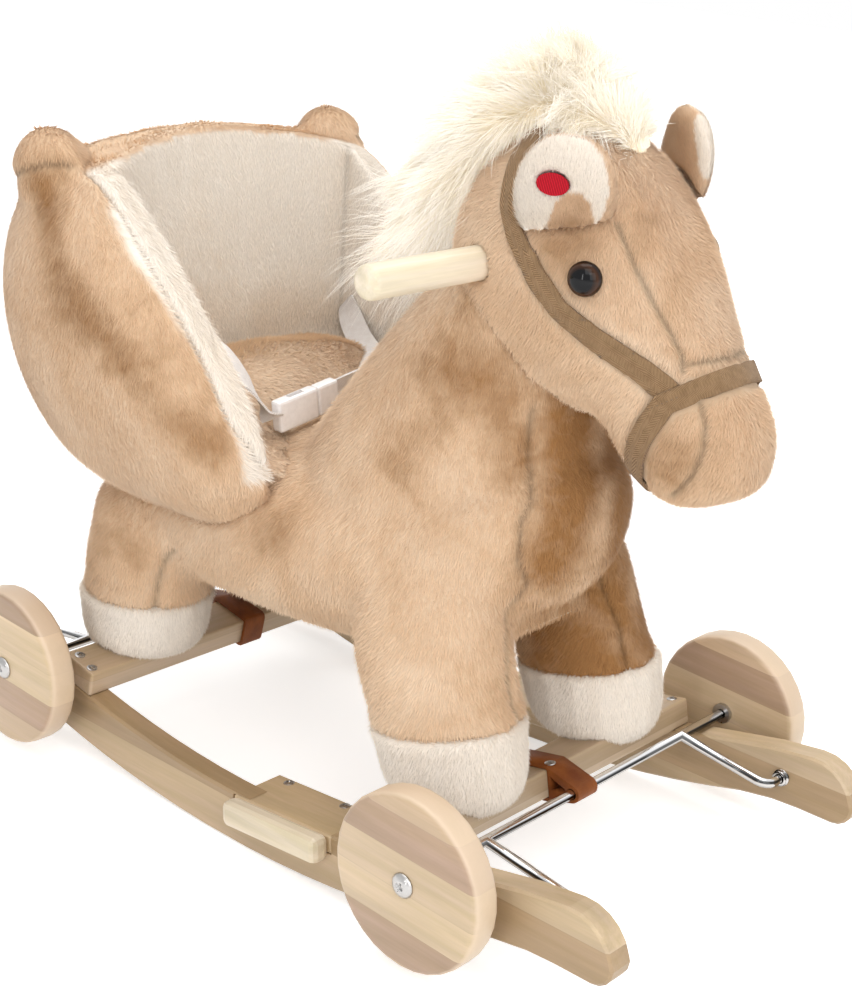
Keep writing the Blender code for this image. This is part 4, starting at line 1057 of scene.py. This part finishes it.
def wrapTape(tape, skin, heights):
    # the tape bends with the head instead of standing off it in straight pieces
    tree = objectTree(skin)
    points, normals = getPoints(tape), getPoints(tape, "normal")
    points[:, 0] -= np.interp(points[:, 2], tapeShift["height"], tapeShift["back"])
    for k, (point, normal) in enumerate(zip(points, normals)):
        spot, facing, index, away = tree.find_nearest(Vector(point))
        low, high = heights["outer" if facing.dot(Vector(normal)) > 0 else "inner"]
        points[k] = spot + facing * min(max((Vector(point) - spot).dot(facing), low), high)
    setPoints(tape, points)


def tapeFromNode(name, node, path):
    # the tape's own copy, with U along it and V across it in metres
    tape = cadCopy(name, node)
    bm = bmesh.new()
    bm.from_mesh(tape.data)
    for turn in range(4):
        long = [edge for edge in bm.edges if edge.calc_length() > tapeStep]
        bmesh.ops.subdivide_edges(bm, edges=long, cuts=1)
        bmesh.ops.triangulate(bm, faces=[face for face in bm.faces if len(face.verts) > 4])
    layer = bm.loops.layers.uv.new("tape")
    line = [Vector(p) for p in path]
    lengths = [0.0]
    for a, b in zip(line, line[1:]):
        lengths.append(lengths[-1] + (b - a).length)
    for face in bm.faces:
        for loop in face.loops:
            spot = Vector((loop.vert.co.x, loop.vert.co.z))
            best = None
            for k, (a, b) in enumerate(zip(line, line[1:])):
                along = (b - a).normalized()
                t = (spot - a).dot(along)
                inside = min(max(t, 0), (b - a).length)
                away = (spot - a - along * inside).length
                if best is None or away < best[0]:
                    best = (away, lengths[k] + t, along.x * (spot - a).y - along.y * (spot - a).x)
            loop[layer].uv = (best[1] + abs(loop.vert.co.y), best[2])
    bm.to_mesh(tape.data)
    bm.free()
    wrapTape(tape, headSkin, tapeHeights[node])
    shadeSmooth(tape, 40)
    setFinish(tape, bridleTape)
    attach(tape, "horse")
    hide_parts(node)
    return tape


nosebandTape = tapeFromNode("nosebandTape", "noseband", nosebandPath)
tapeFromNode("headstallTape", "headstall", headstallPath)
print("bridle made")


# Eyes and sound button
eyeSizes = dict(across=0.0098, deep=0.0070, ahead={"right": 0.1955, "left": 0.1890}, aside=0.0620, height=0.3965,
                turn=0.35, rows=24, segments=48)


def eyeMaterial():
    mat, tree, shader = newMaterial("eyeGloss", 0.06, Specular_IOR_Level=0.20)
    setColour(tree, shader, ramp(tree, attribute(tree, "rim"), [
        (0.60, (0.004, 0.004, 0.005)), (0.68, (0.020, 0.009, 0.005)), (0.86, (0.055, 0.022, 0.010)),
        (0.97, (0.012, 0.006, 0.004))]))
    return mat


eyeGloss = eyeMaterial()
for sideName, side in (("right", -1), ("left", 1)):
    bm = bmesh.new()
    bmesh.ops.create_uvsphere(bm, u_segments=eyeSizes["segments"], v_segments=eyeSizes["rows"], radius=1)
    rimValues = [math.hypot(v.co.x, v.co.y) if v.co.z > 0 else 1.0 for v in bm.verts]
    out = Vector((math.sin(eyeSizes["turn"]), side * math.cos(eyeSizes["turn"]), 0))
    place = Matrix.Translation((eyeSizes["ahead"][sideName], side * eyeSizes["aside"], eyeSizes["height"]))
    size = Matrix.Diagonal((eyeSizes["across"], eyeSizes["across"], eyeSizes["deep"], 1))
    bm.transform(place @ out.to_track_quat("Z", "Y").to_matrix().to_4x4() @ size)
    eye = newObject(f"eye_{sideName}_bead", bm)
    storeFloat(eye, "rim", np.array(rimValues))
    shadeSmooth(eye)
    setFinish(eye, eyeGloss)
    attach(eye, "horse")
    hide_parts(f"eye_{sideName}")


def buttonMaterial():
    mat, tree, shader = newMaterial("buttonThread", 0.7, Specular_IOR_Level=0.2)
    place = addNode(tree, "ShaderNodeMapping", {"Vector": objectPlace(tree), "Rotation": (0.3, 0.2, 0.5)})
    thread = addNode(tree, "ShaderNodeTexWave", {
        "Vector": place, "Scale": 420.0, "Distortion": 0.6, "Detail": 1.0}).outputs["Fac"]
    setColour(tree, shader, ramp(tree, thread, [(0.2, (0.30, 0.002, 0.008)), (0.8, (0.50, 0.005, 0.020))]))
    bump(tree, shader, thread, 0.6, 0.0003)
    return mat


setFinish(frame["nodes"]["sound_button"], buttonMaterial())


# Lap belt
beltSizes = dict(width=0.018, thickness=0.0014, steps=60)
# roll of each belt in degrees along its run, from 0 to 1
beltRolls = {"right": ((0.0, 0.5, 0.85, 1.0), (105, 105, 85, 45)),
             "left": ((0.0, 0.25, 0.5, 0.8, 1.0), (0, 55, 75, 45, 10))}
buckleEnd = Vector((-0.0460, -0.0570, 0.2566))
buckleAlong = Vector((0.02, 1, 0.15)).normalized()
beltPaths = {
    "right": [(-0.1400, -0.0985, 0.2900), (-0.1150, -0.0965, 0.2985), (-0.0880, -0.0925, 0.3045),
              (-0.0690, -0.0850, 0.2990), (-0.0550, -0.0750, 0.2820), (-0.0480, -0.0650, 0.2640),
              tuple(buckleEnd - buckleAlong * 0.0018)],
    "left": [tuple(buckleEnd + buckleAlong * 0.0541), (-0.0490, 0.0180, 0.2700), (-0.0620, 0.0440, 0.2680),
             (-0.0850, 0.0690, 0.2685), (-0.1130, 0.0860, 0.2720), (-0.1330, 0.0955, 0.2830),
             (-0.1410, 0.0990, 0.2920)]}


def smoothLine(points, count):
    # Catmull-Rom through the points
    p = [Vector(points[0]) * 2 - Vector(points[1])] + [Vector(q) for q in points]
    p.append(p[-1] * 2 - p[-2])
    line = []
    for step in range(count):
        place = step / (count - 1) * (len(points) - 1)
        k = min(int(place), len(points) - 2)
        t = place - k
        a, b, c, d = p[k:k + 4]
        line.append(0.5 * ((2 * b) + (c - a) * t + (2 * a - 5 * b + 4 * c - d) * t * t
                           + (3 * b - a - 3 * c + d) * t ** 3))
    return line


def makeBelt(sideName):
    line = smoothLine(beltPaths[sideName], beltSizes["steps"])
    bm = bmesh.new()
    layer = bm.loops.layers.uv.new("tape")
    rows, run, runs = [], 0.0, []
    half, thick = beltSizes["width"] / 2, beltSizes["thickness"] / 2
    columns = np.linspace(-half, half, 5)
    section = [(u, -thick) for u in columns] + [(u, thick) for u in columns[::-1]]
    for k, point in enumerate(line):
        along = (line[min(k + 1, len(line) - 1)] - line[max(k - 1, 0)]).normalized()
        face = Vector((along.y, -along.x, 0)).normalized()
        up = along.cross(face).normalized()
        up = up if up.z > 0 else -up
        roll = math.radians(np.interp(k / (len(line) - 1), *beltRolls[sideName]))
        up, face = up * math.cos(roll) + face * math.sin(roll), face * math.cos(roll) - up * math.sin(roll)
        run += (point - line[k - 1]).length if k else 0
        runs.append(run)
        rows.append([bm.verts.new(point + up * u + face * w) for u, w in section])
    for k, (low, high) in enumerate(zip(rows, rows[1:])):
        for j, (u, w) in enumerate(section):
            i = (j + 1) % len(section)
            made = bm.faces.new((low[j], low[i], high[i], high[j]))
            far = section[i][0]
            for loop, place in zip(made.loops, ((runs[k], u), (runs[k], far), (runs[k + 1], far), (runs[k + 1], u))):
                loop[layer].uv = place
    bm.faces.new(rows[0][::-1])
    bm.faces.new(rows[-1])
    bmesh.ops.recalc_face_normals(bm, faces=bm.faces)
    belt = newObject(f"belt_{sideName}_webbing", bm)
    shadeSmooth(belt, 50)
    setFinish(belt, beltTape)
    if sideName == "right":
        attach(belt, "horse")
    else:
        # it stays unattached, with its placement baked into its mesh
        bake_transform(belt)
    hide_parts(f"belt_{sideName}")


makeBelt("right")
makeBelt("left")
print("belt made")


# Leather loops
for end in ("front", "rear"):
    loop = cadCopy(f"leatherLoop_{end}", f"retainer_{end}")
    shadeSmooth(loop, 40)
    setFinish(loop, strapLeather)
    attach(loop, "horse")
    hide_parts(f"retainer_{end}")


# Finishes of the rigid CAD nodes
def smoothCopy(nodeName, mat, body, angle=32):
    # a round part with even shading, in the place of its loose triangles
    copy = cadCopy(nodeName + "_fine", nodeName)
    shadeSmooth(copy, angle)
    setFinish(copy, mat)
    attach(copy, body)
    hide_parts(nodeName)
    return copy


rockerWood = woodMaterial("rockerWood", woodTones["rocker"], (0, 0, 0), 0.030)
beamWood = woodMaterial("beamWood", woodTones["beam"], (0, 0, math.radians(90)), 0.060)
plateWood = woodMaterial("plateWood", woodTones["plate"], (0, 0, 0), 0.060)
paleWood = woodMaterial("paleWood", woodTones["pale"], (0, 0, math.radians(90)), 0.100)
blockWood = woodMaterial("blockWood", woodTones["pale"], (0, 0, 0), 0.100)
wheelWood = woodMaterial("wheelWood", woodTones["wheel"], (0, math.radians(-3), 0), 0.023, rim=(0.74, 0.58, 0.42))
# finishes of plain nodes, by the start of their names
plainFinishes = {"rocker_": rockerWood, "beam_": beamWood, "footrest_plate": plateWood, "footrest_block": blockWood,
                 "leg_post": paleWood, "core_board": paleWood, "buckle_": bucklePlastic}
# share of a wheel's radius at which its paler rim starts
rimStart = 0.985
bodyOf = {each: body for body, members in frame["record"]["behaviour"]["bodies"].items() for each in members}
for nodeName, node in list(frame["nodes"].items()):
    for start, finish in plainFinishes.items():
        if nodeName.startswith(start):
            setFinish(node, finish)
    if nodeName == "handle":
        smoothCopy(nodeName, paleWood, "horse")
    elif nodeName.startswith(("wheel_frame", "pivot_collar")):
        smoothCopy(nodeName, rodChromePaintedReflection, bodyOf[nodeName], 50)
    elif nodeName.startswith(("hub_screw", "wheel_washer")):
        smoothCopy(nodeName, screwSteel, bodyOf[nodeName])
    elif nodeName.startswith("wheel_"):
        wheel = smoothCopy(nodeName, wheelWood, bodyOf[nodeName])
        places = getPoints(wheel)
        middle = (places.min(0) + places.max(0)) / 2
        radius = np.hypot(places[:, 0] - middle[0], places[:, 2] - middle[2])
        storeFloat(wheel, "rimShare", (radius > radius.max() * rimStart).astype(float))
print("rigid nodes finished")


# Screws, bolt ends and stitches
def makePlacedTree():
    # a part on every vertex, standing along facing
    tree, given, out = newTree("placedParts", [("Part", "Object", None), ("Finish", "Material", None)])
    part = addNode(tree, "GeometryNodeObjectInfo", {"Object": given["Part"]})
    turn = turned(tree, named(tree, "facing", "FLOAT_VECTOR"), named(tree, "along", "FLOAT_VECTOR"), "X")
    placed = addNode(tree, "GeometryNodeInstanceOnPoints", {
        "Points": given["Geometry"], "Instance": part.outputs["Geometry"], "Rotation": turn})
    return endTree(tree, out, addNode(tree, "GeometryNodeRealizeInstances", {"Geometry": placed}), given["Finish"])


placedTree = makePlacedTree()


def placeParts(name, part, spots, mat):
    # spots: place, direction that the part stands in and direction of its X
    bm = bmesh.new()
    places, facings, alongs = zip(*spots)
    for place in places:
        bm.verts.new(place)
    made = newObject(name, bm)
    storeVector(made, "facing", np.array(facings))
    storeVector(made, "along", np.array(alongs))
    runTree(made, placedTree, {"Part": part, "Finish": mat})
    bpy.data.objects.remove(part)
    shadeSmooth(made, 35)
    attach(made, "horse")
    return made


def screwHead(radius, tall, arm, half, deep):
    # low round head with a cross recess
    bm = bmesh.new()

    def ring(size, z):
        return [bm.verts.new((size * math.cos(a), size * math.sin(a), z))
                for a in (k * math.tau / 24 for k in range(24))]

    def closed(verts):
        return [bm.edges.get((a, b)) or bm.edges.new((a, b)) for a, b in zip(verts, verts[1:] + verts[:1])]

    foot, side, crown = ring(radius, -0.0003), ring(radius, tall * 0.45), ring(radius * 0.82, tall)
    for low, high in ((foot, side), (side, crown)):
        for k in range(24):
            bm.faces.new((low[k], low[(k + 1) % 24], high[(k + 1) % 24], high[k]))
    outline = [(arm, -half), (arm, half), (half, half), (half, arm), (-half, arm), (-half, half),
               (-arm, half), (-arm, -half), (-half, -half), (-half, -arm), (half, -arm), (half, -half)]
    top = [bm.verts.new((x, y, tall)) for x, y in outline]
    bottom = [bm.verts.new((x * 0.7, y * 0.7, tall - deep)) for x, y in outline]
    bmesh.ops.triangle_fill(bm, use_beauty=True, edges=closed(crown) + closed(top))
    for k in range(12):
        bm.faces.new((top[k], bottom[k], bottom[(k + 1) % 12], top[(k + 1) % 12]))
    bm.faces.new(bottom)
    bmesh.ops.recalc_face_normals(bm, faces=bm.faces)
    return newObject("screwHead", bm)


def landing(node, x, y, way=-1):
    # where a line along Z meets a CAD node, and the way its face looks
    spot, facing, index, away = surfaceTree(node).ray_cast(Vector((x, y, -way)), Vector((0, 0, way)))
    return spot, facing


screwSizes = dict(radius=0.0036, tall=0.0007, arm=0.0019, half=0.00045, deep=0.0012)
# node, place on X and distance from the middle; each is on both sides
screwPlaces = [("footrest_plate", 0.0221, 0.1007), ("footrest_plate", 0.0724, 0.1001), ("beam_rear", -0.1581, 0.1284),
               ("beam_rear", -0.1420, 0.1306), ("beam_front", 0.1581, 0.1284), ("beam_front", 0.1420, 0.1306)]
studPlace = ("retainer_front", 0.1645, -0.0130)
boltPlaces = [("beam_rear", -0.153, 0.078), ("beam_front", 0.153, 0.078)]
boltSizes = dict(root=0.0028, tip=0.0025, tall=0.0075, sunk=0.001)
screwSpots, boltSpots = [], []
for number, (node, x, y) in enumerate(screwPlaces):
    for side, sideName in ((-1, "right"), (1, "left")):
        name = f"{node}_{sideName}" if node == "footrest_plate" else node
        spot, facing = landing(name, x, side * y)
        # the recesses stand at different angles
        angle = number * 1.3 + side
        screwSpots.append((spot, facing, (math.cos(angle), math.sin(angle), 0)))
screwSpots.append((*landing(*studPlace), (1, 0, 0)))
for node, x, y in boltPlaces:
    for side in (-1, 1):
        spot, facing = landing(node, x, side * y, 1)
        boltSpots.append((spot - facing * boltSizes["sunk"], facing, (1, 0, 0)))
placeParts("plateScrews", screwHead(**screwSizes), screwSpots, screwSteel)
bm = bmesh.new()
bmesh.ops.create_cone(bm, cap_ends=True, segments=20, radius1=boltSizes["root"], radius2=boltSizes["tip"],
                      depth=boltSizes["tall"], matrix=Matrix.Translation((0, 0, boltSizes["tall"] / 2)))
placeParts("boltEnds", newObject("boltEnd", bm), boltSpots, boltBlack)

# rows of stitches where the headstall is sewn to the noseband: ends on the right side
stitchRows = [((0.2290, -0.0465, 0.3350), (0.2420, -0.0400, 0.3430)),
              ((0.2330, -0.0455, 0.3300), (0.2460, -0.0380, 0.3385))]
stitchSizes = dict(count=7, length=0.0017, width=0.00042)


def makeStitches():
    tree = objectTree(nosebandTape)
    spots = []
    for side in (1, -1):
        for first, last in stitchRows:
            first, last = (Vector((x, y * side, z)) for x, y, z in (first, last))
            for k in range(stitchSizes["count"]):
                wanted = first.lerp(last, k / (stitchSizes["count"] - 1))
                spot, facing, index, away = tree.find_nearest(wanted)
                spots.append((spot, facing, last - first))
    bm = bmesh.new()
    bmesh.ops.create_icosphere(bm, subdivisions=1, radius=1, matrix=Matrix.Diagonal((
        stitchSizes["length"] / 2, stitchSizes["width"], stitchSizes["width"], 1)))
    placeParts("bridleStitches", newObject("stitch", bm), spots, stitchThread)


makeStitches()
print("screws and stitches made")


# Floor, light and camera
# floor and surroundings are white for the camera; how strongly they light the scene is set apart from that
stageLooks = dict(floor=0.93, nearGlow=0.52, glowStart=0.35, glowEnd=1.6, light=0.64, drop=0.0004)


def seenShare(tree):
    # 1 for what the camera sees, directly or mirrored or through a clear piece
    rays = addNode(tree, "ShaderNodeLightPath").outputs
    passed = maths(tree, "MAXIMUM", rays["Is Glossy Ray"], rays["Is Transmission Ray"])
    return maths(tree, "MAXIMUM", rays["Is Camera Ray"], passed)


def makeStage():
    bm = bmesh.new()
    bmesh.ops.create_grid(bm, x_segments=1, y_segments=1, size=6)
    floor = newObject("floor", bm)
    floor.location.z = -stageLooks["drop"]
    mat, tree, shader = newMaterial("floorWhite", 0.9)
    setColour(tree, shader, (*[stageLooks["floor"]] * 3, 1))
    shader.inputs["Emission Color"].default_value = (1, 1, 1, 1)
    away = addNode(tree, "ShaderNodeVectorMath", {0: objectPlace(tree)}, operation="LENGTH").outputs["Value"]
    glow = spread(tree, away, stageLooks["nearGlow"], 1.0, stageLooks["glowStart"], stageLooks["glowEnd"])
    plug(tree, shader.inputs["Emission Strength"], product(tree, seenShare(tree), glow))
    setFinish(floor, mat)
    world = bpy.data.worlds.new("studio")
    scene.world = world
    world.use_nodes = True
    tree = world.node_tree
    tree.nodes.clear()
    soft, white = (addNode(tree, "ShaderNodeBackground", {"Color": (1, 1, 1, 1), "Strength": strength})
                   for strength in (stageLooks["light"], 1.0))
    mixed = addNode(tree, "ShaderNodeMixShader", {0: seenShare(tree), 1: soft, 2: white})
    addNode(tree, "ShaderNodeOutputWorld", {0: mixed})


lampAim = (0, 0, 0.25)
lamps = {
    "keyLight": dict(place=(1.2, -1.3, 1.9), size=(1.4, 1.4), power=13),
    "frontLight": dict(place=(1.9, -0.8, 1.0), size=(1.4, 1.4), power=12),
    "topLight": dict(place=(-0.3, 0.2, 2.3), size=(1.8, 1.8), power=26),
    "eyeLight": dict(place=(0.5, -2.0, 0.7), size=(0.14, 0.90), power=3.5),
}


def makeLamps():
    for name, lamp in lamps.items():
        data = bpy.data.lights.new(name, "AREA")
        data.shape, data.size, data.size_y, data.energy = "RECTANGLE", *lamp["size"], lamp["power"]
        obj = link(bpy.data.objects.new(name, data))
        obj.location = lamp["place"]
        aim = Vector(lampAim) - Vector(lamp["place"])
        obj.rotation_euler = aim.to_track_quat("-Z", "Y").to_euler()


cameraSetting = dict(place=(0.7651, -0.8194, 0.6082), yaw=38.89, pitch=20.32, roll=4.31, lens=64.77,
                     shiftX=-0.0805, shiftY=0.0178)


def makeCamera():
    c = cameraSetting
    yaw, pitch, roll = (math.radians(c[key]) for key in ("yaw", "pitch", "roll"))
    back = Vector((math.sin(yaw) * math.cos(pitch), -math.cos(yaw) * math.cos(pitch), math.sin(pitch)))
    level = Vector((math.cos(yaw), math.sin(yaw), 0))
    top = back.cross(level)
    right = level * math.cos(roll) + top * math.sin(roll)
    up = top * math.cos(roll) - level * math.sin(roll)
    data = bpy.data.cameras.new("photoCamera")
    data.lens, data.sensor_width, data.shift_x, data.shift_y = c["lens"], 36.0, c["shiftX"], c["shiftY"]
    data.clip_start = 0.05
    obj = link(bpy.data.objects.new("photoCamera", data))
    obj.matrix_world = Matrix.Translation(c["place"]) @ Matrix((right, up, back)).transposed().to_4x4()
    scene.camera = obj


makeStage()
makeLamps()
makeCamera()
scene.view_settings.view_transform = "Standard"
print("stage, light and camera made")
